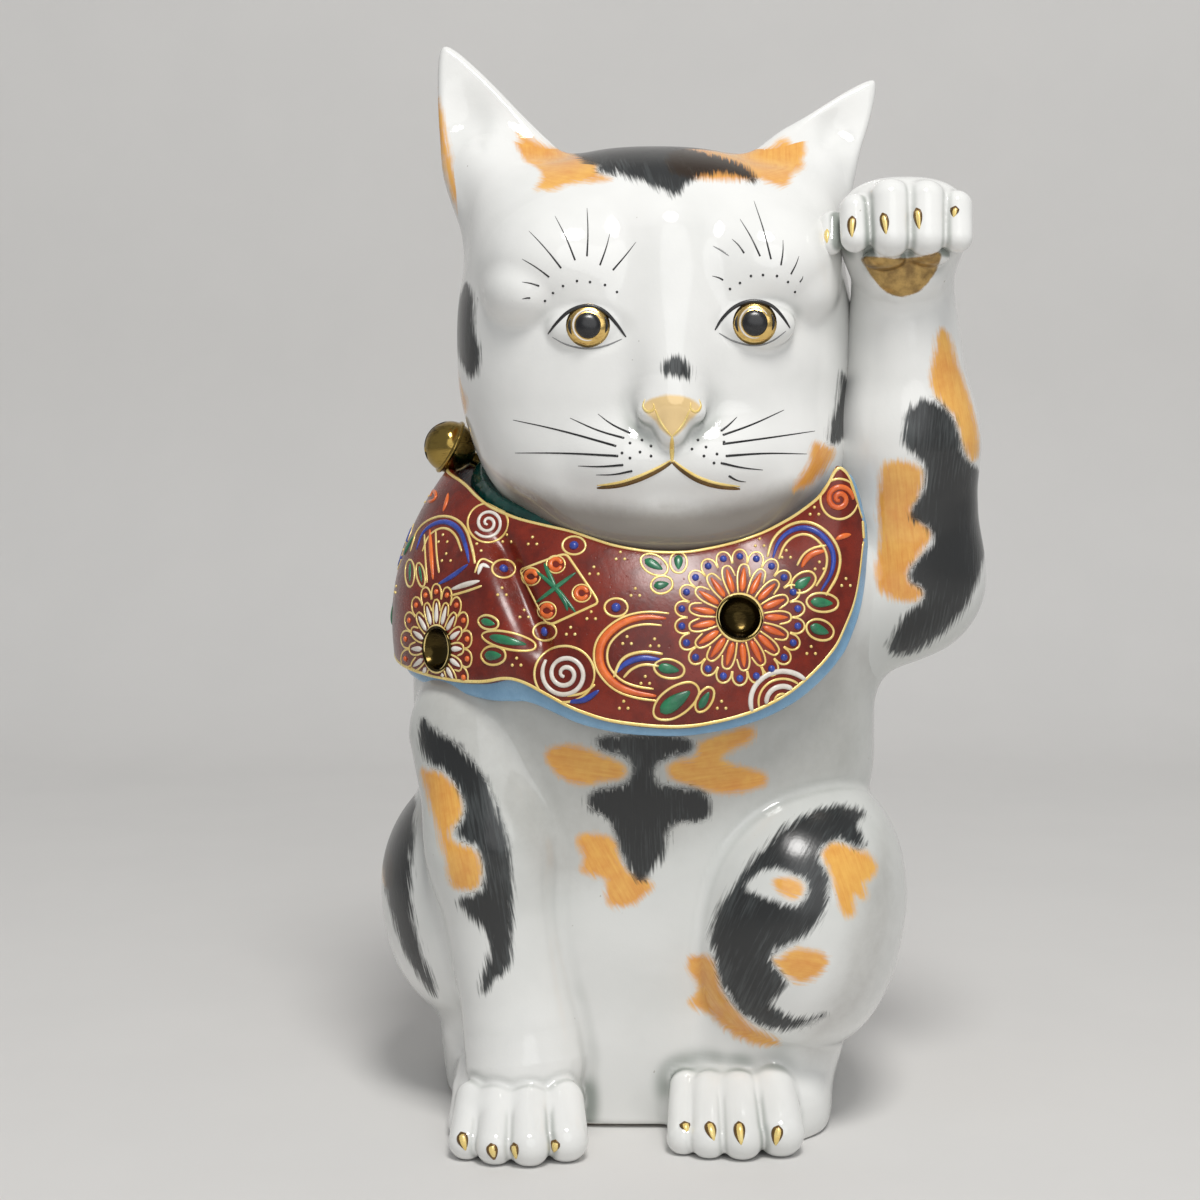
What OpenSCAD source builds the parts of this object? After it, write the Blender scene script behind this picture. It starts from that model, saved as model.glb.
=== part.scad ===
// Beckoning cat figurine: a seated, slip-cast porcelain cat with one raised paw, a draped bib,
// a tied collar and two rattle bells. Millimetres, +Z up, the viewer looks along +Y.
// Left and right are the viewer's. The origin is on the resting face of the foot slab.

/* [Foot] */
// Width of the foot slab
base_w = 136; // [126:1:146]
// Depth of the foot slab
base_d = 118; // [108:1:128]
// Corner radius of the foot slab
base_corner = 46; // [38:1:54]
// How far the slab's centre sits behind the origin
base_back = 13; // [8:1:18]
// Thickness of the foot slab
slab_t = 7; // [5:0.5:10]
// Diameter of the kiln vent in the slab
vent_d = 14; // [8:1:20]
// Distance of the vent behind the slab's centre
vent_back = 24; // [16:1:30]

/* [Torso] */
// Cast wall of the hollow pieces
wall = 4.5; // [3.5:0.5:6.5]
// Width of the belly
belly_w = 156; // [146:1:166]
// Depth of the belly
belly_d = 132; // [124:1:140]
// Half height of the belly
belly_rise = 68; // [62:1:74]
// Height of the belly's centre
belly_z = 64; // [58:1:70]
// Distance of the belly's centre behind the origin
belly_back = 10; // [5:1:15]
// Width of the chest
chest_w = 158; // [148:1:168]
// Depth of the chest
chest_d = 128; // [120:1:134]
// Half height of the chest
chest_rise = 58; // [52:1:62]
// Height of the chest's centre
chest_z = 146; // [140:1:150]
// Width of the left haunch
haunch_w = 88; // [82:1:94]
// Width of the right thigh, which stands out of the belly
thigh_w = 77; // [72:1:82]
// Depth of each haunch
haunch_d = 109; // [104:1:116]
// Height of each haunch
haunch_h = 94; // [88:1:98]
// Height of the haunch centres
haunch_z = 68.5; // [64:0.5:73]
// Distance of each haunch centre from the middle
haunch_out = 48.5; // [46:0.5:51]
// Width of the neck under the head
neck_w = 110; // [104:1:114]
// Depth of the neck under the head
neck_d = 94; // [88:1:98]
// Radius of the neck opening between torso and head
neck_r = 26; // [18:1:32]

/* [Head] */
// Width of the head
head_w = 134; // [126:1:142]
// Depth of the skull without the muzzle
head_d = 104; // [96:1:112]
// Height from chin to crown
head_h = 132; // [124:1:140]
// Height of the chin
chin_z = 194; // [190:1:198]
// Sideways place of the head
head_x = 5; // [0:1:10]
// Distance of the skull's centre in front of the origin
head_front = 5; // [1:1:10]
// How far the muzzle stands out of the face
muzzle_out = 13; // [8:1:18]
// Length of the left ear
ear_left_l = 55; // [48:1:60]
// Length of the right ear
ear_right_l = 44; // [39:1:49]
// Width of an ear at its root
ear_w = 36; // [32:1:40]
// Thickness of an ear at its root
ear_t = 17; // [13:1:21]

/* [Limbs] */
// Radius of the standing foreleg at its ankle
ankle_r = 18.5; // [16:0.5:21]
// Radius of the standing foreleg at its middle
shin_r = 21; // [18:0.5:24]
// Radius of the raised arm at its elbow
elbow_r = 27; // [24:0.5:30]
// Radius of the raised arm at its wrist
wrist_r = 17; // [15:0.5:19]
// Height of the elbow's centre
elbow_z = 181; // [176:1:186]
// Height of the wrist's centre
wrist_z = 273; // [266:1:280]
// Radius of a toe of the standing paw and hind feet
toe_r = 7.2; // [6:0.2:8.4]
// Spacing of the toes on the ground
toe_pitch = 11.5; // [10:0.5:13]
// Length of the standing paw
paw_l = 48; // [42:1:54]
// Length of the left hind foot
hind_left_l = 70; // [64:1:76]
// Length of the right hind foot
hind_right_l = 74; // [68:1:80]
// Radius of a toe of the raised paw
fist_toe_r = 6; // [5:0.2:7]
// Spacing of the toes of the raised paw
fist_pitch = 10.4; // [9.2:0.2:11.6]
// Radius of the tail at its root
tail_r = 10; // [8:0.5:12]
// How far the tail curls out to the right of the middle
tail_reach = 63; // [58:1:66]
// How far the tail's tip rises above its root
tail_rise = 45; // [38:1:52]

/* [Bib and collar] */
// Side radius of the bib at the shoulders
bib_side = 91; // [87:0.5:95]
// Front radius of the bib at the hem
bib_front = 79; // [76:0.5:83]
// Drop of the bib's hem below the chin, at the front
bib_drop = 54; // [49:1:59]
// How far the bib draws in from the shoulders to the neck
bib_taper = 18; // [15:0.5:20]
// How far the blue lining shows below the hem
lining_show = 4; // [2:0.5:6]
// Diameter of a gold flower dish
dish_d = 15; // [10:0.5:20]
// Depth of a gold flower dish
dish_depth = 2.5; // [1.5:0.5:4]
// Height of the collar band
collar_h = 12; // [9:0.5:15]
// Thickness of the collar band
collar_t = 8; // [6:0.5:10]

/* [Bells] */
// Outer diameter of a bell
bell_d = 18; // [15:0.5:21]
// Wall of a bell
bell_wall = 1.5; // [1:0.1:2]
// Diameter of the loose pellet
pellet_d = 6.4; // [5:0.2:8]
// Width of the bell's mouth slot
slot_w = 1.8; // [1:0.1:2.6]
// Diameter of the peg that seats a bell in the collar
peg_d = 5; // [4:0.5:6]
// Length of the peg beyond the bell
peg_l = 7; // [5:0.5:9]

/* [Hidden] */

// Facets round a large form, a small form and a bored seat
form_fn = 26;
small_fn = 14;
$fn = form_fn;
// Slack round a peg and under a loose pellet
seat_gap = 0.3;
// Slack that keeps separately fired pieces apart
fired_gap = 0.4;
// A length larger than the figure, for half spaces
far = 600;

belly_at = [0, belly_back, belly_z];
belly_radii = [belly_w / 2, belly_d / 2, belly_rise];
chest_at = [2, -2, chest_z];
chest_radii = [chest_w / 2, chest_d / 2, chest_rise];
haunch_radii = [haunch_w / 2, haunch_d / 2 + 1.5, haunch_h / 2 - 1];
thigh_radii = [thigh_w / 2, haunch_d / 2 - 1.5, haunch_h / 2 + 1];
// The left haunch sits further back, behind the standing foreleg
haunch_y = [8, -20];
haunch_at = [2 - haunch_out, haunch_y[0], haunch_z - 0.5];
thigh_at = [2 + haunch_out, haunch_y[1], haunch_z + 0.5];
haunch_lean = [-7, 9];
// Fullness of the haunches: 2 is an ellipsoid, more is squarer
haunch_full = 2.25;
// What carries the right thigh down to the foot, and the right breast under the bib
stifle_at = [thigh_at[0] - 10.5, thigh_at[1] + 6, thigh_at[2] - 33];
stifle_radii = [thigh_radii[0] - 8.5, thigh_radii[1] - 11, thigh_radii[2] - 12];
breast_at = [46, -30, chest_z + 30];
breast_radii = [29, 25, 30];

// Skull: one full form, squarer than an ellipsoid
head_y = -head_front;
skull_full = 2.45;
skull_at = [head_x - 0.4, head_y - 1, chin_z + head_h / 2 - 0.7];
skull_radii = [head_w / 2 - 0.7, head_d / 2 + 3, head_h / 2 - 0.6];
// The face looks a little to the right of the skull's middle
face_x = head_x + 3.7;
face_y = head_y - head_d / 2;
nose_z = chin_z + 43;
brow_z = chin_z + 90;
brow_out = 32;
cheek_z = chin_z + 29.5;
neck_at = [head_x, head_y + 6, chin_z + 4];
neck_radii = [neck_w / 2, neck_d / 2, 24];

// The collar lies in the fold between jaw and neck, so it goes round the larger of the two
collar_in = 8;
collar_out = 4;
collar_side = max(head_w / 2 - collar_in, neck_w / 2 + collar_out);
collar_deep = max(head_d / 2 - 4, neck_d / 2 + 1) / (collar_side - 3);

// Limb centres
shoulder_left = [-52, -27, chest_z - 18];
shin_at = [-48.5, -44, 95];
ankle_at = [-39, -47, 30];
paw_at = [-38.5, -40 - paw_l, 0];
base_front = base_back - base_d / 2;
hind_left_at = [18 - base_w / 2, base_front - 16, 0];
hind_right_at = [base_w / 2 - 32, base_front - 35.5, 0];
// Toes of each foot: place across, radius and how far each stands back
paw_toes = [
    for (toe = [[-1.55, 0.82, 5], [-0.75, 0.89, 1.5], [0.2, 0.96, 0], [1.22, 1, 2.5]])
        [paw_at[0] + toe[0] * toe_pitch, toe[1] * toe_r, toe[2]]
];
hind_left_toes = [
    for (toe = [[-0.74, 0.7, 3], [-0.09, 0.78, 0], [0.61, 0.78, 0]])
        [hind_left_at[0] + toe[0] * toe_pitch, toe[1] * toe_r, toe[2]]
];
hind_right_toes = [
    for (toe = [[-1.98, 0.75, 4.5], [-1.29, 0.86, 1.5], [-0.37, 0.97, 0], [0.71, 1.08, 1.5]])
        [hind_right_at[0] + toe[0] * toe_pitch, toe[1] * toe_r, toe[2]]
];
// The tail lies along the slab's back edge, then climbs the right of the rump
tail_back = base_back + base_d / 2;
tail_curl = [[0, -2], [0.29, 0], [0.57, -4], [0.81, -12], [0.97, -23], [1, -31], [0.9, -31]];
tail_climb = [0, 0, 0.04, 0.18, 0.42, 0.73, 1];
// The raised arm stands beside the collar
arm_x = head_x + collar_side + 8;
shoulder_right = [arm_x - 14, -4, elbow_z - 14];
elbow_at = [arm_x + 18.5, -10, elbow_z];
wrist_at = [arm_x + 14, -26, wrist_z];
fist_at = [arm_x + 12, -38, wrist_z + 22];
// The thumb lies against the palm, beside the head
thumb_out = 23.6;

// Bib: angle 0 faces the viewer and grows to the right; its neck edge and hem are heights by angle
bib_at = [5, 5];
bib_from = -160;
bib_to = 58.5;
bib_columns = 36;
bib_rows = 6;
shoulder_z = chest_z + 19;
// Heights over which the bib draws in to the neck at the sides and at the front, and under the shoulders
side_rise = chin_z - shoulder_z + 21;
front_rise = chin_z - chest_z;
under_rise = shoulder_z - (chin_z - bib_drop);
// How far the bib is tucked in under the shoulders, and how much flatter its right side lies
bib_tuck = 3;
right_flat = 12;
// Over the raised arm the bib bows out and hardly draws in
right_bow = 0.55;
right_rise = 0.85;
neck_edge = [
    [-160, chin_z + 26], [-110, chin_z + 24], [-90, chin_z + 22], [-75, chin_z + 21], [-60, chin_z + 18.5],
    [-45, chin_z + 11.5], [-35, chin_z + 8], [-20, chin_z + 4.5], [-8, chin_z - 0.5], [2, chin_z - 2.2],
    [12, chin_z - 1], [25, chin_z + 2.5], [33, chin_z + 6.5], [41, chin_z + 12], [45, chin_z + 16],
    [48, chin_z + 21], [50, chin_z + 25], [52, chin_z + 24.5], [54.5, chin_z + 21], [57, chin_z + 13],
    [58.5, chin_z + 7]
];
// The hem by angle, as a share of the drop at the front
hem_share = [
    [-160, -0.2], [-130, 0.26], [-105, 0.63], [-90, 0.74], [-57, 0.78], [-45, 0.785], [-38, 0.77],
    [-33, 0.735],
    [-29, 0.745], [-24, 0.81], [-18, 0.895], [-10, 0.965], [4, 1], [17, 0.955], [28, 0.87], [37, 0.74],
    [46, 0.555], [53, 0.315], [56, 0.14], [57.5, 0], [58.5, -0.08]
];
hem = [for (at = hem_share) [at[0], chin_z - bib_drop * at[1]]];
// The lining lies inside the bib, ends lower at the neck and reaches past the bib's right edge
lining_inset = 2.5;
lining_tuck = 13;
lining_swing = 4;
// Where the hem is gathered up, the lining hangs further out of it
lining_fall = [[-60, 0], [-33, 3.5], [-12, 0]];
dish_right = [18.5, chin_z - 0.41 * bib_drop];
dish_left = [-57, chin_z - 0.63 * bib_drop];

collar_at = [head_x, head_y + 5, chin_z + 18];
collar_tilt = 20;

// Bells: set beside the cheeks, mouths turned outwards
bell_r = bell_d / 2;
bell_inner = bell_r - bell_wall;
bell_band = 0.8;
// Each bell stands off the collar's side by this much of its peg
bell_off = collar_side + bell_r + 2.5;
bell_left_at = [head_x - bell_off, head_y + 14, chin_z + 30];
bell_right_at = [head_x + bell_off, head_y + 14, chin_z + 34];
bell_left_aim = [-0.86, -0.2, 0.46];
bell_right_aim = [0.86, -0.2, 0.46];
pellet_drop = bell_inner - pellet_d / 2 - seat_gap;

// One ball
module ball(at, r) { translate(at) sphere(r); }

// One ellipsoid
module egg(at, radii) { translate(at) scale(radii) sphere(1); }

// A full form: an ellipsoid whose sides are squared by a power, its top leaning to the right
module full_egg(at, radii, full, lean = 0) {
    rings = floor($fn / 2);
    swell = function(n) n / pow(pow(abs(n[0]), full) + pow(abs(n[1]), full) + pow(abs(n[2]), full), 1 / full);
    way = function(i, j)
        let (rise = 180 * i / rings - 90, turn = 360 * j / $fn)
        [cos(rise) * cos(turn), cos(rise) * sin(turn), sin(rise)];
    points = concat(
        [[0, 0, -1]],
        [for (i = [1:rings - 1], j = [0:$fn - 1]) swell(way(i, j))],
        [[0, 0, 1]]
    );
    last = len(points) - 1;
    sides = [
        for (i = [0:rings - 3], j = [0:$fn - 1])
            let (p = 1 + i * $fn + j, q = 1 + i * $fn + (j + 1) % $fn)
            each [[p, p + $fn, q], [q, p + $fn, q + $fn]]
    ];
    caps = [
        for (j = [0:$fn - 1])
            let (next = (j + 1) % $fn, top = last - $fn)
            each [[0, 1 + j, 1 + next], [last, top + next, top + j]]
    ];
    translate(at) rotate([0, lean, 0]) scale(radii) polyhedron(points, concat(sides, caps), convexity = 2);
}

// One fired skin: its children as a single closed form
module fired() { resize([0, 0, 0]) children(); }

// A tapered round limb between two balls
module limb(from, from_r, to, to_r) { hull() { ball(from, from_r); ball(to, to_r); } }

// Turns +Z towards a direction
module aim(way) {
    turn = atan2(way[1], way[0]);
    fall = acos(way[2] / norm(way));
    rotate([0, fall, turn]) children();
}

// Everything above the ground
module above_ground() { translate([-far / 2, -far / 2, 0]) cube(far); }

// The slab's rounded outline, shrunk by a margin
module base_outline(shrink = 0) {
    spread_x = base_w / 2 - base_corner;
    spread_y = base_d / 2 - base_corner;
    translate([0, base_back]) hull()
        for (sx = [-1, 1], sy = [-1, 1])
            translate([sx * spread_x, sy * spread_y]) circle(base_corner - shrink);
}

// Radii shrunk by a margin
function less(radii, shrink) = [for (r = radii) r - shrink];

// Belly, chest, neck and haunches, shrunk by a margin
module torso_masses(shrink = 0) {
    hull() { egg(belly_at, less(belly_radii, shrink)); linear_extrude(slab_t) base_outline(shrink); }
    hull() { egg(belly_at, less(belly_radii, shrink)); egg(chest_at, less(chest_radii, shrink)); }
    hull() { egg(chest_at, less(chest_radii, shrink)); egg(neck_at, less(neck_radii, shrink)); }
    full_egg(haunch_at, less(haunch_radii, shrink), haunch_full, haunch_lean[0]);
    full_egg(thigh_at, less(thigh_radii, shrink), haunch_full, haunch_lean[1]);
    full_egg(stifle_at, less(stifle_radii, shrink), 2.6);
    egg(breast_at, less(breast_radii, shrink));
}

// The torso, full inside; its hollow is the same masses less the cast wall
module torso_form() {
    intersection() {
        torso_masses();
        above_ground();
    }
}

// Skull with cheeks, jaw, brows, nose bridge and muzzle, full inside
module head_form($fn = 17) {
    skull($fn = form_fn);
    egg([face_x - 29.5, face_y + 38, cheek_z + 1], [28.5, 34, 26]);
    egg([face_x + 26.5, face_y + 39, cheek_z + 1], [30.5, 35, 28]);
    full_egg([face_x - 0.8, face_y + 36, chin_z + 19], [42, 33.5, 26], 2.3);
    egg([face_x - 1, face_y + 21, chin_z + 11], [22, 21.5, 13.5]);
    for (side = [-1, 1]) {
        egg([face_x + side * brow_out - 1.7, face_y + 17, brow_z], [23, 22, 19.5]);
        egg([face_x + side * (brow_out + 12.5) - 1.5, face_y + 20 + side * 1.5, brow_z - 8], [15, 18.5, 14]);
    }
    hull() {
        ball([face_x - 0.8, face_y + 12, brow_z + 8], 13.5);
        ball([face_x, face_y - 2.5, nose_z + 10], 9.8);
    }
    hull() {
        ball([face_x, face_y - 2.5, nose_z + 10], 9.8);
        egg([face_x, face_y - 6, nose_z + 2], [9, 6, 6]);
    }
    for (side = [-1, 1])
        egg([face_x + side * 12.5, face_y + 19 - muzzle_out, nose_z - 14], [17.5, 15.5, 13.5]);
    egg([face_x, face_y + 2, nose_z - 12], [12, 12, 12]);
}

// The skull without its features, shrunk by a margin
module skull(shrink = 0) { full_egg(skull_at, less(skull_radii, shrink), skull_full); }

// The bore that joins the hollows of torso and head
module neck_bore() { translate([head_x, head_y, chin_z - 4 * wall]) cylinder(h = 7 * wall, r = neck_r); }

// Upper arm and forearm of the raised limb, shrunk by a margin
module arm_form(shrink = 0) {
    limb(shoulder_right, elbow_r + 3 - shrink, elbow_at, elbow_r - shrink);
    limb(elbow_at, elbow_r - shrink, wrist_at, wrist_r - shrink);
}

// Palm, pads, curled toes and thumb of the raised paw
module fist_form($fn = small_fn) {
    full_egg(fist_at + [0, -2, 3.5], [20.5, 16, 14], 2.5);
    egg(fist_at + [0, 2, -5], [19.5, 16, 16.5], $fn = 20);
    egg(fist_at + [0, -4.5, -14.5], [12.5, 8.5, 7.5]);
    for (toe = [[-1.63, 0.82, 7.5], [-0.58, 1.1, 10.5], [0.5, 1.03, 10.5], [1.46, 0.83, 8.5]]) {
        across = toe[0] * fist_pitch;
        r = toe[1] * fist_toe_r;
        limb(
            fist_at + [across, -11 - r / 2, toe[2] - 1], r,
            fist_at + [across, -14.5 - r * 0.6, -2.5], r * 0.95
        );
    }
    limb(fist_at + [-thumb_out, -5, 2.5], 4.2, fist_at + [-thumb_out, -9.5, -4], 3.8);
}

// The standing foreleg from shoulder to ankle
module foreleg_form() {
    limb(shoulder_left, shin_r + 5, shin_at, shin_r);
    limb(shin_at, shin_r, ankle_at, ankle_r);
}

// A foot on the ground: a mass with toes that run from the ground in front up to their knuckles
module ground_foot(toes, front, back, rise, $fn = small_fn) {
    intersection() {
        union() {
            children();
            for (toe = toes) {
                limb([toe[0], front + toe[1] + toe[2], toe[1] * 0.92], toe[1],
                     [toe[0], front + back + toe[2], rise], toe[1] * 1.04);
            }
        }
        above_ground();
    }
}

module standing_paw_form() {
    ground_foot(paw_toes, paw_at[1], paw_l * 0.42, toe_r * 2.15)
        full_egg(paw_at + [-1.5, paw_l * 0.68, 8], [3 * toe_r, paw_l * 0.44, 14], 2.6);
}
module left_hind_form() {
    ground_foot(hind_left_toes, hind_left_at[1], hind_left_l * 0.26, toe_r * 1.7)
        full_egg(hind_left_at + [-0.5, hind_left_l * 0.5, 8], [13, hind_left_l * 0.45, 16], 2.5);
}
module right_hind_form() {
    ground_foot(hind_right_toes, hind_right_at[1], hind_right_l * 0.3, toe_r * 2.4) {
        full_egg(hind_right_at + [-4, hind_right_l * 0.54, 7], [22, hind_right_l * 0.36, 17], 2.8);
        full_egg(hind_right_at + [11, hind_right_l * 0.73, 9], [17.5, hind_right_l * 0.43, 16], 2.6);
    }
}

// The tail, curled round the right of the rump
module tail_form($fn = small_fn) {
    route = [
        for (i = [0:len(tail_curl) - 1])
            [
                tail_curl[i][0] * tail_reach,
                tail_back + tail_curl[i][1],
                tail_r + 3 + tail_climb[i] * tail_rise
            ]
    ];
    intersection() {
        for (i = [0:len(route) - 2]) {
            limb(route[i], tail_r * (1 - 0.05 * i), route[i + 1], tail_r * (1 - 0.05 * (i + 1)));
        }
        above_ground();
    }
}

// An ear from its root on the head to its tip, hollowed in front
module ear_form(side, length, $fn = 20) {
    root = [head_x + side * (head_w / 2 - 16), head_y + 4, chin_z + head_h - 18];
    lean = side < 0 ? -21 : 24;
    thick = ear_t / 2;
    translate(root) rotate([0, lean, 0]) difference() {
        hull() {
            egg([side * (ear_w / 2 - thick), 0, -8], [thick, thick, thick]);
            egg([side * (ear_w / 2 - 6), 1, length * 0.42], [6, thick * 0.7, 9]);
            egg([-side * (ear_w / 2 - thick), 0, 0], [thick, thick, thick]);
            ball([side * 1, 2, length - 3], 3);
        }
        egg([side * 1, -ear_t * 0.72, length * 0.38], [ear_w * 0.36, ear_t * 0.5, length * 0.5]);
    }
}

// Radii of the bib at a height: the side that an angle falls on, and the front
function bib_rx(a, z) =
    let (up = max(0, z - shoulder_z) / side_rise, down = max(0, shoulder_z - z) / under_rise)
    bib_side - right_flat * min(1, max(0, a / 12)) - bib_draw(a) * up * up - bib_tuck * down * down;
function bib_ry(a, z) = let (up = max(0, z - chest_z) / front_rise) bib_front - bib_draw(a) * up * up;
function bib_draw(a) =
    let (share = min(1, max(0, (a - 20) / 35)))
    bib_taper * (1 - right_rise * share * share * (3 - 2 * share));
function bib_fall(a) = a > 0 ? pow(abs(cos(a)), right_bow) : cos(a);
function bib_point(a, z, inset = 0) =
    [bib_at[0] + (bib_rx(a, z) - inset) * sin(a), bib_at[1] - (bib_ry(a, z) - inset) * bib_fall(a), z];

// A closed cape between the neck edge and the hem; its inner side lies inside the torso
module cape(drop = 0, inset = 0, tuck = 0, swing = 0) {
    depth = inset > 0 ? 12 : 34;
    top = function(a) lookup(a, neck_edge) - tuck;
    low = function(a) min(lookup(a, hem) - drop - (inset > 0 ? lookup(a, lining_fall) : 0), top(a) - 4);
    turned = function(a) a + (a > 0 ? swing * a / bib_to : 0);
    angles = [
        for (i = [0:bib_columns])
            bib_to - (bib_to - bib_from - inset) * pow(1 - i / bib_columns, 1.25)
    ];
    ring = 2 * bib_rows + 2;
    points = [
        for (a = angles) each [
            for (j = [0:bib_rows])
                bib_point(turned(a), low(a) + (top(a) - low(a)) * j / bib_rows, inset),
            for (j = [bib_rows:-1:0])
                bib_point(turned(a), low(a) + (top(a) - low(a)) * j / bib_rows, inset + depth)
        ]
    ];
    sides = [
        for (i = [0:bib_columns - 1], j = [0:ring - 1])
            let (p = i * ring + j, q = i * ring + (j + 1) % ring)
            each [[p, q, p + ring], [q, q + ring, p + ring]]
    ];
    ends = [
        [for (j = [ring - 1:-1:0]) j],
        [for (j = [0:ring - 1]) bib_columns * ring + j]
    ];
    polyhedron(points, concat(sides, ends), convexity = 8);
}

// The shallow recess of a gold flower dish
module dish_cut(place) {
    rim = bib_point(place[0], place[1]);
    way = [sin(place[0]), -cos(place[0]), place[1] > shoulder_z ? 0.35 : 0.05];
    translate(rim) aim(way) translate([0, 0, -dish_depth]) cylinder(h = 4 * dish_depth, d = dish_d);
}

// The collar band, a full ring that lies in a groove of the neck, the jaw and the raised arm
module collar_form(swell = 0) {
    translate(collar_at) rotate([collar_tilt, 0, 0]) scale([1, collar_deep, 1])
        rotate_extrude() translate([collar_side, 0])
            scale([(collar_t / 2 + swell) / (collar_h / 2 + swell), 1])
                circle(collar_h / 2 + swell, $fn = 10);
}

// A hollow that stays a wall away from the collar's groove
module clear_of_groove() { difference() { children(); collar_form(wall + fired_gap); } }

// Everything inside the collar and above its middle, where only the head may be
module collar_lid() {
    translate(collar_at) rotate([collar_tilt, 0, 0]) scale([1, collar_deep, 1])
        cylinder(h = head_h, r = collar_side);
}

// The collar with everything that it encircles
module collar_disc() { hull() collar_form(); }

// Space kept for both bells and their pegs
module bell_room() {
    for (bell = [[bell_left_at, bell_left_aim], [bell_right_at, bell_right_aim]]) {
        ball(bell[0], bell_r + bell_band + fired_gap);
        translate(bell[0]) aim(-bell[1]) cylinder(h = bell_r + peg_l + seat_gap, d = peg_d + 2 * seat_gap);
    }
}

// Limbs that the soft-looking layers lie on
module under_layers() { head_form(); torso_form(); foreleg_form(); arm_form(); fist_form(); }

module body_shell() {
    color("whitesmoke") fired() difference() {
        torso_form();
        head_form();
        clear_of_groove() torso_masses(wall);
        neck_bore();
        translate([-far / 2, -far / 2, -far + slab_t]) cube(far);
        collar_form();
        collar_lid();
        bell_room();
    }
}

module foot_slab() {
    color("bisque") difference() {
        linear_extrude(slab_t) base_outline();
        translate([0, base_back + vent_back, -1]) cylinder(h = slab_t + 2, d = vent_d);
    }
}

module head_shell() {
    color("white") fired() difference() {
        head_form();
        clear_of_groove() skull(wall);
        neck_bore();
        collar_form();
        bell_room();
    }
}

module left_ear() { color("white") fired() difference() { ear_form(-1, ear_left_l); head_form(); } }
module right_ear() {
    color("white") fired() difference() { ear_form(1, ear_right_l); head_form(); fist_form(); }
}

module raised_arm() {
    color("whitesmoke") fired() difference() {
        arm_form();
        clear_of_groove() difference() { arm_form(wall); skull(-wall); }
        torso_form();
        head_form();
        fist_form();
        collar_form();
        bell_room();
    }
}

module raised_paw() { color("white") fired() difference() { fist_form(); head_form(); } }

module standing_foreleg() {
    color("whitesmoke") fired() difference() {
        foreleg_form();
        torso_form();
        head_form();
        standing_paw_form();
    }
}

module standing_paw() { color("white") fired() difference() { standing_paw_form(); torso_form(); } }

module left_hind_foot() {
    color("white") fired() difference() {
        left_hind_form();
        torso_form();
        foreleg_form();
        standing_paw_form();
    }
}

module right_hind_foot() {
    color("white") fired() difference() { right_hind_form(); torso_form(); standing_paw_form(); }
}

module tail() { color("darkorange") fired() difference() { tail_form(); torso_form(); } }

module bib() {
    color("firebrick") fired() difference() {
        cape();
        under_layers();
        collar_disc();
        collar_lid();
        bell_room();
        dish_cut(dish_left);
        dish_cut(dish_right);
    }
}

module bib_lining() {
    color("lightsteelblue") fired() difference() {
        cape(lining_show, lining_inset, lining_tuck, lining_swing);
        cape();
        under_layers();
        collar_disc();
        bell_room();
    }
}

module collar() {
    color("darkgreen") fired() difference() { collar_form(); bell_room(); }
}

module collar_bow() {
    back = collar_side * collar_deep;
    knot = collar_at + [0, back * cos(collar_tilt) + collar_t / 2 + 1, back * sin(collar_tilt)];
    color("darkgreen") fired() difference() {
        union($fn = 11) {
            egg(knot, [6, 5, 6]);
            for (side = [-1, 1]) {
                hull() { egg(knot, [3, 3, 3]); egg(knot + [side * 16, 0, 3], [7, 4, 8]); }
                hull() { egg(knot, [3, 3, 3]); egg(knot + [side * 9, 6, -22], [4, 2.5, 5]); }
            }
        }
        collar_form();
        cape();
        under_layers();
    }
}

// The half of a bell that carries its peg
module bell_back(at, way, $fn = 20) {
    color("gold") translate(at) aim(way) difference() {
        union() {
            sphere(bell_r);
            rotate_extrude() translate([bell_r, 0]) circle(bell_band);
            translate([0, 0, -bell_r - peg_l]) cylinder(h = peg_l + bell_r / 2, d = peg_d);
        }
        sphere(bell_inner);
        translate([-far / 2, -far / 2, 0]) cube(far);
    }
}

// The half of a bell with the mouth slot
module bell_front(at, way, $fn = 20) {
    slot_end = bell_r * 0.62;
    color("gold") translate(at) aim(way) difference() {
        union() {
            sphere(bell_r);
            rotate_extrude() translate([bell_r, 0]) circle(bell_band);
        }
        sphere(bell_inner);
        translate([-far / 2, -far / 2, -far]) cube(far);
        translate([-slot_end, -slot_w / 2, 0]) cube([2 * slot_end, slot_w, bell_d]);
        for (side = [-1, 1]) translate([side * slot_end, 0, 0]) cylinder(h = bell_d, d = 2 * slot_w);
    }
}

// The loose pellet, lying at the bottom of its bell
module bell_pellet(at, $fn = 16) { color("goldenrod") ball(at - [0, 0, pellet_drop], pellet_d / 2); }

module left_bell_back() { bell_back(bell_left_at, bell_left_aim); }
module left_bell_front() { bell_front(bell_left_at, bell_left_aim); }
module left_bell_pellet() { bell_pellet(bell_left_at); }
module right_bell_back() { bell_back(bell_right_at, bell_right_aim); }
module right_bell_front() { bell_front(bell_right_at, bell_right_aim); }
module right_bell_pellet() { bell_pellet(bell_right_at); }

body_shell();
foot_slab();
head_shell();
left_ear();
right_ear();
raised_arm();
raised_paw();
standing_foreleg();
standing_paw();
left_hind_foot();
right_hind_foot();
tail();
bib();
bib_lining();
collar();
collar_bow();
left_bell_back();
left_bell_front();
left_bell_pellet();
right_bell_back();
right_bell_front();
right_bell_pellet();
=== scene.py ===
"""Beckoning cat figurine: its glazed, painted and gilded looks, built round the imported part.

Lengths are millimetres in the part's own frame until a mesh is made. Left and right are the viewer's.
Places that were read from the photograph are pixels of its 1200 by 1200 frame, or of a named sketch of it.
"""

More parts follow.
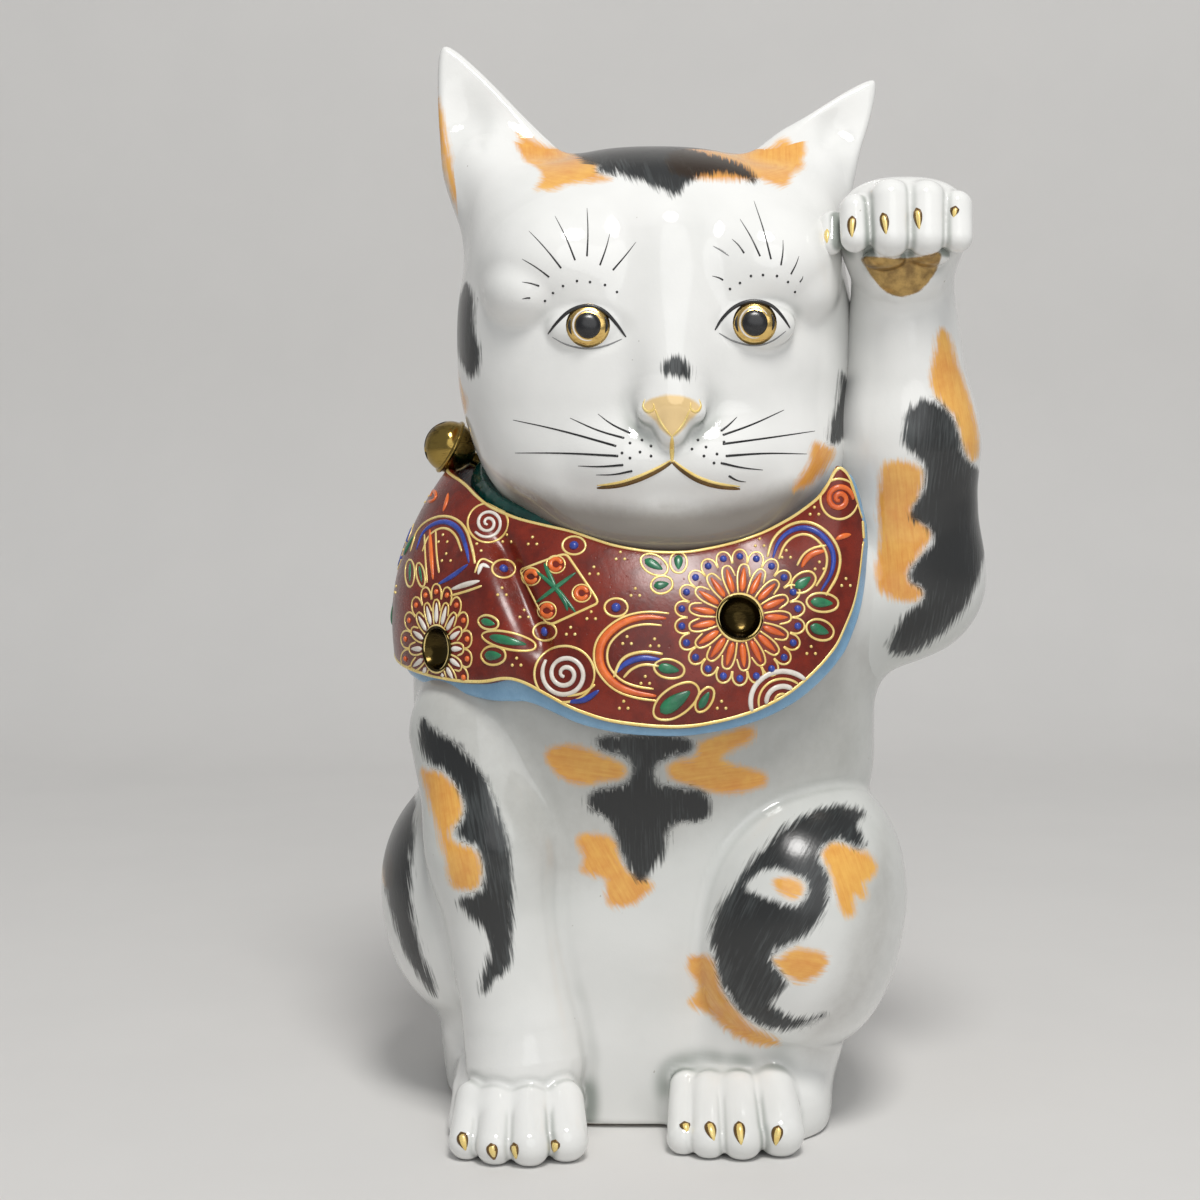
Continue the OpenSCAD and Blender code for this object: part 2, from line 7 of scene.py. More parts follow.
import logging
import math
from collections.abc import Iterable, Sequence
from dataclasses import dataclass, field
from enum import Enum

import bpy
import numpy as np
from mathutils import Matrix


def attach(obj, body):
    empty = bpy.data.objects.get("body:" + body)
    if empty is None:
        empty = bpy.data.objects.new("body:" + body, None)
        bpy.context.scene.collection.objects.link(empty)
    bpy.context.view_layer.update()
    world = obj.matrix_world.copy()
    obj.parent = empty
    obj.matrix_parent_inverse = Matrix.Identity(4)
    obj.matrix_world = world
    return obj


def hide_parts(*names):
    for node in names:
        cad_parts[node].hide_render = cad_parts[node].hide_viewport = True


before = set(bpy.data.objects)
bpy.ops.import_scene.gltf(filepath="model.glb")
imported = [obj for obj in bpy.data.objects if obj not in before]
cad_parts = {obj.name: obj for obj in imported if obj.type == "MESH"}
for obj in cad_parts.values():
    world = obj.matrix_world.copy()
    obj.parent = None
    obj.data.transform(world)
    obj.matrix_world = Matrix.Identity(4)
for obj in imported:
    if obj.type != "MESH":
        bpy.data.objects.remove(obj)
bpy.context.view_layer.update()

import openvdb
from mathutils import Vector
from mathutils.bvhtree import BVHTree

log = logging.getLogger("beckoning_cat")

MM = 0.001
FIGURE = "figure"
Cloud = np.ndarray
Pair = tuple[np.ndarray, np.ndarray]
Point = Sequence[float]
Outline = Sequence[Point]


class Slot(Enum):
    """The record's material slots."""

    PORCELAIN = "porcelain"
    BARE_FOOT = "bare_foot"
    BIB = "bib_enamel"
    LINING = "lining_enamel"
    COLLAR = "collar_enamel"
    GOLD = "gold_lustre"


# The viewpoint and sketches of the photograph


@dataclass(frozen=True)
class PhotoEye:
    """The photograph's viewpoint in the figure's frame."""

    at: Point = (-13.7, -800.0, 256.1)
    dip: float = 6.02
    focal: float = 2335.0
    frame_px: float = 1200.0
    sensor: float = 36.0

    def rays(self, pixels: Cloud) -> Cloud:
        """Directions, not of unit length, through pixels.

        Args:
            pixels: Rows of u, v.

        Returns:
            Rows of x, y, z.
        """
        dip = math.radians(self.dip)
        across = (pixels[:, 0] - self.frame_px / 2) / self.focal
        up = (self.frame_px / 2 - pixels[:, 1]) / self.focal
        forward = math.cos(dip) + up * math.sin(dip)
        return np.stack([across, forward, up * math.cos(dip) - math.sin(dip)], 1)

    def project(self, points: Cloud) -> Cloud:
        """Pixels of points.

        Args:
            points: Rows of x, y, z.

        Returns:
            Rows of u, v.
        """
        dip = math.radians(self.dip)
        rel = points - np.array(self.at)
        depth = rel[:, 1] * math.cos(dip) - rel[:, 2] * math.sin(dip)
        up = rel[:, 1] * math.sin(dip) + rel[:, 2] * math.cos(dip)
        middle = self.frame_px / 2
        return np.stack([middle + self.focal * rel[:, 0] / depth, middle - self.focal * up / depth], 1)

    def build(self) -> bpy.types.Object:
        """The scene's camera at this viewpoint."""
        data = bpy.data.cameras.new("photo_eye")
        data.sensor_width = self.sensor
        data.lens = self.focal / self.frame_px * self.sensor
        data.clip_start = 0.01
        camera = bpy.data.objects.new("photo_eye", data)
        camera.location = Vector(self.at) * MM
        camera.rotation_euler = (math.radians(90 - self.dip), 0, 0)
        bpy.context.scene.collection.objects.link(camera)
        bpy.context.scene.camera = camera
        return camera


@dataclass(frozen=True)
class Sketch:
    """An enlarged part of the photograph in which places were read."""

    corner: Point
    scale: float

    def px(self, places: Outline) -> Cloud:
        """Photograph pixels of places in this sketch."""
        return np.array(self.corner) + self.scale * np.array(places, float)


EYE = PhotoEye()
PHOTO = Sketch((0, 0), 1.0)
HEAD_SKETCH = Sketch((420, 20), 0.3571)
BODY_SKETCH = Sketch((380, 700), 0.3444)
PAW_SKETCH = Sketch((380, 700), 0.3571)
ARM_SKETCH = Sketch((790, 150), 0.3379)
BIB_SKETCH = Sketch((380, 440), 0.3316)


# Outline helpers


def rounded(outline: Cloud, closed: bool = True, passes: int = 2) -> Cloud:
    """An outline with its corners cut round.

    Args:
        outline: Rows of a polyline.
        closed: Whether the last point joins the first.
        passes: How often each corner is cut.

    Returns:
        More rows, without the corners.
    """
    line = np.asarray(outline, float)
    for _ in range(passes):
        after = np.roll(line, -1, 0) if closed else line[1:]
        before = line if closed else line[:-1]
        pair = np.stack([0.75 * before + 0.25 * after, 0.25 * before + 0.75 * after], 1)
        cut = pair.reshape(-1, line.shape[1])
        line = cut if closed else np.vstack([line[:1], cut, line[-1:]])
    return line


def spaced(line: Cloud, step: float) -> Cloud:
    """A polyline's points at even spacing.

    Args:
        line: Rows of the polyline.
        step: The wanted spacing in the same unit.

    Returns:
        At least two rows from end to end.
    """
    lengths = np.linalg.norm(np.diff(line, axis=0), axis=1)
    run = np.concatenate([[0], np.cumsum(lengths)])
    count = max(2, int(round(run[-1] / step)) + 1)
    wanted = np.linspace(0, run[-1], count)
    return np.stack([np.interp(wanted, run, line[:, k]) for k in range(line.shape[1])], 1)


def unit(rows: Cloud) -> Cloud:
    """Rows scaled to unit length."""
    return rows / np.maximum(np.linalg.norm(rows, axis=-1, keepdims=True), 1e-6)


def arc(middle: Point, radii: Point, start: float, end: float, count: int = 14) -> Cloud:
    """Points along an oval arc, in degrees, clockwise on the picture from its right."""
    turn = np.radians(np.linspace(start, end, count))
    return np.stack([middle[0] + radii[0] * np.cos(turn), middle[1] + radii[1] * np.sin(turn)], 1)


def turned(places: Cloud, degrees: float) -> Cloud:
    """Places turned about the origin of their plane."""
    cos, sin = math.cos(math.radians(degrees)), math.sin(math.radians(degrees))
    return np.asarray(places, float) @ np.array([[cos, sin], [-sin, cos]])


def inside_by(places: Cloud, outline: Cloud) -> Cloud:
    """Signed distance of places in a plane to a closed outline.

    Args:
        places: Rows of two.
        outline: Rows of two, in order.

    Returns:
        Distances, positive inside.
    """
    best = np.full(len(places), np.inf)
    crossings = np.zeros(len(places), bool)
    for start, end in zip(outline, np.roll(outline, -1, 0)):
        edge = end - start
        rel = places - start
        share = np.clip(rel @ edge / max(edge @ edge, 1e-12), 0, 1)
        off = rel - share[:, None] * edge
        best = np.minimum(best, (off**2).sum(1))
        if start[1] != end[1]:
            spans = (start[1] > places[:, 1]) != (end[1] > places[:, 1])
            crossings ^= spans & (rel[:, 0] < edge[0] * rel[:, 1] / edge[1])
    return np.where(crossings, 1, -1) * np.sqrt(best)


# Solid forms by signed distance


def soft_least(one: Cloud, two: Cloud, soft: float) -> Cloud:
    """The lesser of two distances with a fillet.

    Args:
        one: Distances.
        two: Distances.
        soft: Width of the fillet.

    Returns:
        Distances.
    """
    share = np.clip(0.5 + 0.5 * (two - one) / max(soft, 1e-6), 0, 1)
    return two + share * (one - two) - soft * share * (1 - share)


class Form:
    """A solid given by its signed distance, negative inside."""

    def distance(self, at: Cloud) -> Cloud:
        """Distances of rows of points."""
        raise NotImplementedError

    def reach(self) -> Pair:
        """Lowest and highest corner."""
        raise NotImplementedError


@dataclass(frozen=True)
class Egg(Form):
    """An ellipsoid; a higher power makes it fuller, and lean tips its top to the right."""

    at: Point
    radii: Point
    power: float = 2.0
    lean: float = 0.0

    def distance(self, at: Cloud) -> Cloud:
        """Distances of rows of points."""
        rel = at - np.array(self.at)
        if self.lean:
            cos, sin = math.cos(math.radians(self.lean)), math.sin(math.radians(self.lean))
            x, y, z = rel.T
            rel = np.stack([cos * x - sin * z, y, sin * x + cos * z], 1)
        radii = np.array(self.radii, float)
        share = np.abs(rel) / radii
        raised = share**self.power
        size = np.maximum(raised.sum(1), 1e-9) ** (1 / self.power)
        slope = np.sqrt(((share ** (self.power - 1) / radii) ** 2).sum(1)) * size ** (1 - self.power)
        return (size - 1) / np.maximum(slope, 1e-4)

    def reach(self) -> Pair:
        """Lowest and highest corner."""
        span = np.array(self.radii, float)
        if self.lean:
            span[[0, 2]] = max(span[0], span[2])
        return np.array(self.at) - span, np.array(self.at) + span


@dataclass(frozen=True)
class Limb(Form):
    """A round limb that tapers from one ball to another."""

    start: Point
    start_r: float
    end: Point
    end_r: float

    def distance(self, at: Cloud) -> Cloud:
        """Distances of rows of points."""
        start = np.array(self.start, float)
        run = np.array(self.end, float) - start
        rel = at - start
        share = np.clip(rel @ run / (run @ run), 0, 1)
        away = np.sqrt(((rel - share[:, None] * run) ** 2).sum(1))
        return away - (self.start_r + share * (self.end_r - self.start_r))

    def reach(self) -> Pair:
        """Lowest and highest corner."""
        ends = np.array([self.start, self.end], float)
        radii = np.array([[self.start_r], [self.end_r]])
        return (ends - radii).min(0), (ends + radii).max(0)


@dataclass(frozen=True)
class Trunk(Form):
    """A body of oval rings, each a height with its left, right, front and back."""

    rings: Outline
    power: float = 2.15
    foot_power: float = 2.75
    foot_high: float = 45.0
    soften: int = 9
    edge: float = 2.5

    def table(self) -> Cloud:
        """The rings at every millimetre, with their corners smoothed."""
        rings = np.array(self.rings, float)
        heights = np.arange(rings[0, 0], rings[-1, 0] + 1)
        rows = np.stack([np.interp(heights, rings[:, 0], rings[:, k]) for k in range(1, 5)], 1)
        kernel = np.hanning(2 * self.soften + 3)
        padded = np.pad(rows, ((self.soften + 1, self.soften + 1), (0, 0)), mode="edge")
        smooth = np.stack([np.convolve(padded[:, k], kernel / kernel.sum(), "valid") for k in range(4)], 1)
        return np.column_stack([heights, smooth])

    def distance(self, at: Cloud) -> Cloud:
        """Distances of rows of points."""
        table = self.table()
        left, right, front, back = (np.interp(at[:, 2], table[:, 0], table[:, k]) for k in range(1, 5))
        radii = np.stack([(right - left) / 2, (back - front) / 2], 1)
        share = np.abs(at[:, :2] - np.stack([(left + right) / 2, (front + back) / 2], 1)) / radii
        low = np.clip(1 - at[:, 2] / self.foot_high, 0, 1)
        power = self.power + (self.foot_power - self.power) * low
        size = np.maximum((share ** power[:, None]).sum(1), 1e-9) ** (1 / power)
        slope = np.sqrt(((share ** (power[:, None] - 1) / radii) ** 2).sum(1)) * size ** (1 - power)
        side = (size - 1) / np.maximum(slope, 1e-4)
        ends = np.maximum(self.rings[0][0] - at[:, 2], at[:, 2] - self.rings[-1][0])
        return -soft_least(-side, -ends, self.edge)

    def reach(self) -> Pair:
        """Lowest and highest corner."""
        rings = np.array(self.rings, float)
        low = np.array([rings[:, 1].min(), rings[:, 3].min(), rings[0, 0]])
        return low, np.array([rings[:, 2].max(), rings[:, 4].max(), rings[-1, 0]])


@dataclass(frozen=True)
class Blade(Form):
    """A flat, tapering form: an outline across and along its own plane, thick at its root."""

    root: Point
    along: Point
    across: Point
    outline: Outline
    root_half: float
    tip_half: float
    edge: float = 2.2

    def axes(self) -> Pair:
        """Ways across and along the plane."""
        return unit(np.array(self.across)), unit(np.array(self.along))

    def distance(self, at: Cloud) -> Cloud:
        """Distances of rows of points."""
        across, along = self.axes()
        rel = at - np.array(self.root)
        plane = np.stack([rel @ across, rel @ along], 1)
        depth = np.abs(rel @ np.cross(across, along))
        length = max(place[1] for place in self.outline)
        half = self.root_half + np.clip(plane[:, 1] / length, 0, 1) * (self.tip_half - self.root_half)
        beside = -inside_by(plane, rounded(np.array(self.outline))) + self.edge
        above = depth - half + self.edge
        outer = np.hypot(np.maximum(beside, 0), np.maximum(above, 0))
        return outer + np.minimum(np.maximum(beside, above), 0) - self.edge

    def reach(self) -> Pair:
        """Lowest and highest corner."""
        outline = np.array(self.outline, float)
        across, along = self.axes()
        points = np.array(self.root) + outline[:, :1] * across + outline[:, 1:] * along
        return points.min(0) - self.root_half, points.max(0) + self.root_half


@dataclass(frozen=True)
class Plate(Form):
    """An upright plate with a round-cornered outline and a bored vent."""

    middle: Point
    size: Point
    corner: float
    high: float
    vent: Point
    vent_r: float
    edge: float = 1.2

    def distance(self, at: Cloud) -> Cloud:
        """Distances of rows of points."""
        spread = np.array(self.size) / 2 - self.corner
        rel = np.abs(at[:, :2] - np.array(self.middle)) - spread
        side = np.hypot(*np.maximum(rel, 0).T) + np.minimum(rel.max(1), 0) - self.corner
        ends = np.maximum(-at[:, 2], at[:, 2] - self.high)
        bore = np.hypot(*(at[:, :2] - np.array(self.vent)).T) - self.vent_r
        return -soft_least(soft_least(-side, -ends, self.edge), bore, self.edge)

    def reach(self) -> Pair:
        """Lowest and highest corner."""
        middle, half = np.array(self.middle), np.array(self.size) / 2
        return np.array([*(middle - half), 0]), np.array([*(middle + half), self.high])


class Join(Enum):
    """How a form meets the one it is worked into."""

    ADD = "add"
    CARVE = "carve"


@dataclass(frozen=True)
class Step:
    """One form worked into a sculpt, with the width of its fillet."""

    form: Form
    soft: float
    join: Join = Join.ADD


@dataclass(frozen=True)
class Sculpt(Form):
    """A form with others added to it and carved from it, above the ground."""

    base: Form
    steps: Sequence[Step]
    ground: float | None = None

    def distance(self, at: Cloud) -> Cloud:
        """Distances of rows of points."""
        value = self.base.distance(at)
        for step in self.steps:
            low, high = step.form.reach()
            margin = step.soft + 9
            near = np.all((at > low - margin) & (at < high + margin), axis=1)
            if not near.any():
                continue
            part = step.form.distance(at[near])
            if step.join is Join.ADD:
                value[near] = soft_least(value[near], part, step.soft)
            else:
                value[near] = -soft_least(-value[near], part, step.soft)
        return value if self.ground is None else np.maximum(value, self.ground - at[:, 2])

    def reach(self) -> Pair:
        """Lowest and highest corner."""
        ends = [self.base.reach()] + [step.form.reach() for step in self.steps if step.join is Join.ADD]
        low = np.min([low for low, _ in ends], 0)
        if self.ground is not None:
            low[2] = max(low[2], self.ground)
        return low, np.max([high for _, high in ends], 0)


@dataclass(frozen=True)
class Member:
    """One piece of a casting and the fillet that lutes it to the pieces before it."""

    form: Form
    soft: float


@dataclass(frozen=True)
class Casting:
    """Pieces luted into one smooth skin, of which each keeps its own part."""

    members: dict[str, Member]
    lap: float = 3.0
    lift: float = 0.08
    ground: float = 0.3

    def shares(self, at: Cloud) -> tuple[Cloud, dict[str, Cloud]]:
        """The joint skin and each piece's own distance.

        Args:
            at: Rows of points.

        Returns:
            Distances to the joint skin, and to each piece by name.
        """
        skin_at, own = None, {}
        for name, member in self.members.items():
            low, high = member.form.reach()
            near = np.all((at > low - 22) & (at < high + 22), axis=1)
            own[name] = np.full(len(at), 60.0)
            if near.any():
                own[name][near] = member.form.distance(at[near])
            skin_at = own[name].copy() if skin_at is None else soft_least(skin_at, own[name], member.soft)
        return skin_at, own

    def hollow(self, points: Cloud, normals: Cloud, probe: float = 7.0) -> Cloud:
        """How much of a hollow each point lies in, from 0 on open skin to 1 in a fold."""
        reached, _ = self.shares(points + probe * normals)
        return np.clip(1 - reached / probe, 0, 1)


@dataclass(frozen=True)
class CastPiece(Form):
    """One piece's part of a casting; neighbours lap inside each other, so no seam opens."""

    casting: Casting
    name: str

    def distance(self, at: Cloud) -> Cloud:
        """Distances of rows of points."""
        skin_at, own = self.casting.shares(at)
        others = np.min([value for name, value in own.items() if name != self.name], 0)
        beyond = own[self.name] - others
        lap = self.casting.lap
        lapped = np.maximum(skin_at + self.casting.lift * np.clip(beyond / lap, -1, 1), beyond - lap)
        return np.maximum(lapped, self.casting.ground - at[:, 2])

    def reach(self) -> Pair:
        """Lowest and highest corner."""
        low, high = self.casting.members[self.name].form.reach()
        return low - 4, high + 4


# Meshes


@dataclass
class Shell:
    """A closed skin of points and faces, with a normal at each point where it is known."""

    points: Cloud
    faces: list[list[int]]
    normals: Cloud | None = None

    def tree(self) -> BVHTree:
        """A search tree for casting rays at this skin."""
        return BVHTree.FromPolygons(self.points.tolist(), self.faces)

    def mesh(self, name: str, layers: dict[str, Cloud] | None = None) -> bpy.types.Mesh:
        """A mesh in metres.

        Args:
            name: The mesh's name.
            layers: Values or vectors at each point, by name.

        Returns:
            The smooth-shaded mesh.
        """
        mesh = bpy.data.meshes.new(name)
        mesh.from_pydata((self.points * MM).tolist(), [], self.faces)
        mesh.shade_smooth()
        for layer, values in (layers or {}).items():
            vector = values.ndim == 2
            attribute = mesh.attributes.new(layer, "FLOAT_VECTOR" if vector else "FLOAT", "POINT")
            attribute.data.foreach_set("vector" if vector else "value", values.astype(np.float32).ravel())
        if self.normals is not None:
            mesh.normals_split_custom_set_from_vertices(self.normals.tolist())
        return mesh


def lump(rings: Cloud, first: Cloud, last: Cloud) -> Shell:
    """A closed skin over rings of points.

    Args:
        rings: Rows of rings of equal count, each closed on itself.
        first: The point that closes the first ring.
        last: The point that closes the last ring.

    Returns:
        The skin; its last two points are the closing ones.
    """
    rows, sides = rings.shape[:2]
    index = np.arange(rows * sides).reshape(rows, sides)
    after = np.roll(index, -1, 1)
    faces = np.stack([index[:-1], index[1:], after[1:], after[:-1]], -1).reshape(-1, 4).tolist()
    for k, m in zip(index[0].tolist(), after[0].tolist()):
        faces.append([index.size, k, m])
        faces.append([index.size + 1, index.size - sides + m, index.size - sides + k])
    return Shell(np.vstack([rings.reshape(-1, 3), first, last]), faces)


TETRA = np.array([(1, -1, -1), (-1, -1, 1), (-1, 1, -1), (1, 1, 1)], float)
BLOCK = 4
NEAR_BAND = 8.0


def slope_at(form: Form, points: Cloud, step: float) -> Pair:
    """A form's value and slope.

    Args:
        form: The solid.
        points: Rows of points.
        step: Half width of the probe.

    Returns:
        Distances, and rows of slopes.
    """
    value, slope = np.zeros(len(points)), np.zeros_like(points)
    for corner in TETRA:
        probe = form.distance(points + step * corner)
        value += probe / 4
        slope += probe[:, None] * corner / (4 * step)
    return value, slope


def skin(form: Form, voxel: float) -> Shell:
    """The closed skin of a form.

    Args:
        form: The solid.
        voxel: Spacing of the skin's points.

    Returns:
        The skin, drawn onto the form's true surface.
    """
    voxel = voxel * 1.0
    low, high = form.reach()
    start = low - 3 * voxel
    blocks = np.ceil((high - low + 6 * voxel) / (BLOCK * voxel)).astype(int)
    index = np.stack(np.meshgrid(*[np.arange(n) for n in blocks], indexing="ij"), -1).reshape(-1, 3)
    rough = form.distance(start + (index * BLOCK + (BLOCK - 1) / 2) * voxel)
    side = np.where(rough > 0, BLOCK * voxel, -BLOCK * voxel).reshape(blocks)
    lattice = np.repeat(np.repeat(np.repeat(side, BLOCK, 0), BLOCK, 1), BLOCK, 2).astype(np.float32)
    within = np.stack(np.meshgrid(*[np.arange(BLOCK)] * 3, indexing="ij"), -1).reshape(-1, 3)
    near = index[np.abs(rough) < NEAR_BAND * voxel]
    cells = (near[:, None, :] * BLOCK + within[None]).reshape(-1, 3)
    for part in np.array_split(cells, max(1, len(cells) // 400000)):
        lattice[part[:, 0], part[:, 1], part[:, 2]] = form.distance(start + part * voxel)
    grid = openvdb.FloatGrid(BLOCK * voxel)
    grid.copyFromArray(lattice)
    points, quads = grid.convertToQuads()
    points = start + points.astype(float) * voxel
    for _ in range(2):
        value, slope = slope_at(form, points, 0.35 * voxel)
        length = np.maximum((slope**2).sum(1), 0.05)
        points -= np.clip(value / length, -voxel, voxel)[:, None] * slope
    slope = slope_at(form, points, 0.35 * voxel)[1]
    return Shell(points, quads.tolist(), unit(slope))


def set_down(name: str, mesh: bpy.types.Mesh, finish: bpy.types.Material, slot: Slot,
             stands_for: Sequence[str] = ()) -> bpy.types.Object:
    """Puts a piece on the figure.

    Args:
        name: The piece's name.
        mesh: Its mesh, in place.
        finish: Its material.
        slot: Not used.
        stands_for: The solids that it replaces.

    Returns:
        The piece.
    """
    piece = bpy.data.objects.new(name, mesh)
    bpy.context.scene.collection.objects.link(piece)
    mesh.materials.append(finish)
    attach(piece, FIGURE)
    if stands_for:
        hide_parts(*stands_for)
    log.info("%s: %d points", name, len(mesh.vertices))
    return piece


# Painted patches


class Pigment(Enum):
    """The layers of colour under and over the glaze."""

    INK = "ink"
    RUST = "rust"
    GILT = "gilt"
    BUFF = "buff"
    # Painted shade under the bib and thigh, painted shade and reflection under the jaw, and a chin smudge.
    SMOKE = "shade_and_smudge"


class Facing(Enum):
    """The side that a patch is painted from: the photograph, or square on in millimetres."""

    PHOTO = "photo"
    LEFT = "left"
    RIGHT = "right"
    BACK = "back"
    TOP = "top"


SIDES: dict[Facing, tuple[Point, tuple[int, int]]] = {
    Facing.LEFT: ((-1, 0, 0), (1, 2)),
    Facing.RIGHT: ((1, 0, 0), (1, 2)),
    Facing.BACK: ((0, 1, 0), (0, 2)),
    Facing.TOP: ((0, 0, 1), (0, 1)),
}
UNPAINTED = -9.0
PX_MM = 0.318
ROUND_MM = 26.0


def splash(middle: Point, size: Point, lobes: int, turn: float) -> list[Point]:
    """The outline of a patch with flame-like lobes.

    Args:
        middle: Its middle.
        size: Its half widths.
        lobes: How many lobes it has.
        turn: Where the first lobe starts, in radians.

    Returns:
        Points round the patch.
    """
    rim = []
    for step in range(26):
        t = math.tau * step / 26
        reach = 1 + 0.17 * math.sin(2 * t + turn) + 0.13 * math.sin(3 * t + 2.3 * turn)
        reach += 0.14 * math.sin((lobes + 2) * t + 3.7 * turn)
        rim.append((middle[0] + size[0] * reach * math.cos(t), middle[1] + size[1] * reach * math.sin(t)))
    return rim


@dataclass(frozen=True)
class Patch:
    """One painted patch: its outline, its brush direction in degrees, and whether it runs over the edge."""

    pigment: Pigment
    outline: Outline
    sketch: Sketch = PHOTO
    brush: float = 90.0
    wrap: bool = False
    facing: Facing = Facing.PHOTO
    bias: float = 0.0
    hole: Outline = ()
    # soft and cap make faint patches that fade as the skin turns away; the painted shade patches use them.
    soft: float = 1.0
    cap: float = 20.0
    behind: float = 999.0

    def lay(self, points: Cloud, normals: Cloud, pixels: Cloud) -> tuple[Cloud, Cloud, Cloud]:
        """Where the patch lies on a skin.

        Args:
            points: The skin's points.
            normals: The skin's normals.
            pixels: The points' pixels.

        Returns:
            The points it can reach, how far inside each lies, and its brush coordinates.
        """
        if self.facing is Facing.PHOTO:
            outline, scale = self.sketch.px(self.outline), PX_MM
            hole = self.sketch.px(self.hole) if self.hole else ()
            toward = np.array(EYE.at) - points
            facing = (normals * toward).sum(1) / np.linalg.norm(toward, axis=1)
            plane, lean = pixels, normals[:, [0, 2]] * (1, -1)
        else:
            way, axes = SIDES[self.facing]
            outline, hole, scale = np.array(self.outline, float), np.array(self.hole), 1.0
            facing = normals @ np.array(way, float)
            plane, lean = points[:, axes], normals[:, axes]
        margin = 12 / scale
        low, high = outline.min(0) - margin, outline.max(0) + margin
        near = np.all((plane > low) & (plane < high), axis=1) & ((facing > -0.1) | self.wrap)
        plane, lean, facing = plane[near], lean[near], facing[near]
        depth = inside_by(plane, rounded(outline)) * scale
        if len(hole):
            depth = np.minimum(depth, -inside_by(plane, rounded(hole)) * scale)
        if self.wrap:
            depth = np.minimum(depth / np.clip(2 * np.abs(facing), 0.4, 1), self.behind - points[near, 1])
        depth = np.minimum(depth / self.soft + self.bias, self.cap)
        if self.soft > 1:
            depth = np.minimum(depth, np.interp(facing, (0.0, 0.55), (-4.0, self.cap)))
        slant = np.maximum(np.linalg.norm(lean, axis=1), 1e-6)
        unrolled = plane * scale + lean * (ROUND_MM * (np.arctan2(slant, facing) - slant) / slant)[:, None]
        turn = math.radians(self.brush)
        along = np.array([math.cos(turn), math.sin(turn)])
        across = np.array([-along[1], along[0]])
        shift = np.full(near.sum(), float(outline[0, 0] % 17))
        return near, depth, np.stack([unrolled @ across, unrolled @ along, shift], 1)


def paint(shell: Shell, patches: Iterable[Patch]) -> dict[str, Cloud]:
    """The layers of colour on a skin.

    Args:
        shell: The skin.
        patches: The patches painted on it.

    Returns:
        How far inside each pigment a point lies, and its brush coordinates, by layer name.
    """
    pixels = EYE.project(shell.points)
    layers = {pigment.value: np.full(len(shell.points), UNPAINTED) for pigment in Pigment}
    brush = np.stack([shell.points[:, 0], shell.points[:, 2], np.zeros(len(shell.points))], 1)
    best = np.full(len(shell.points), UNPAINTED)
    for patch in patches:
        near, depth, strokes = patch.lay(shell.points, shell.normals, pixels)
        layer = layers[patch.pigment.value]
        layer[near] = np.maximum(layer[near], np.maximum(depth, UNPAINTED))
        nearer = depth > best[near]
        chosen = np.flatnonzero(near)[nearer]
        best[chosen] = depth[nearer]
        brush[chosen] = strokes[nearer]
    layers["brush"] = brush
    return layers


# Finishes


class Wire:
    """One value in a finish; arithmetic on it adds Math nodes."""

    def __init__(self, kiln: "Kiln", socket: bpy.types.NodeSocket) -> None:
        """Keeps the finish and the socket."""
        self.kiln = kiln
        self.socket = socket

    def maths(self, operation: str, one: "Wire | float", two: "Wire | float") -> "Wire":
        """One Math node on two values."""
        return self.kiln.node("ShaderNodeMath", {"operation": operation}, {0: one, 1: two})

    def __add__(self, other: "Wire | float") -> "Wire":
        """Sum."""
        return self.maths("ADD", self, other)

    __radd__ = __add__

    def __sub__(self, other: "Wire | float") -> "Wire":
        """Difference."""
        return self.maths("SUBTRACT", self, other)

    def __rsub__(self, other: "Wire | float") -> "Wire":
        """Difference from a number."""
        return self.maths("SUBTRACT", other, self)

    def __mul__(self, other: "Wire | float") -> "Wire":
        """Product."""
        return self.maths("MULTIPLY", self, other)

    __rmul__ = __mul__

    def __truediv__(self, other: "Wire | float") -> "Wire":
        """Quotient."""
        return self.maths("DIVIDE", self, other)

    def __rtruediv__(self, other: "Wire | float") -> "Wire":
        """Quotient of a number."""
        return self.maths("DIVIDE", other, self)

    def ramp(self, low: float, high: float, start: float = 0.0, end: float = 1.0) -> "Wire":
        """A smooth step from start at low to end at high."""
        settings = {"interpolation_type": "SMOOTHSTEP", "clamp": True}
        values = {"Value": self, "From Min": low, "From Max": high, "To Min": start, "To Max": end}
        return self.kiln.node("ShaderNodeMapRange", settings, values)


Colour = tuple[float, float, float]


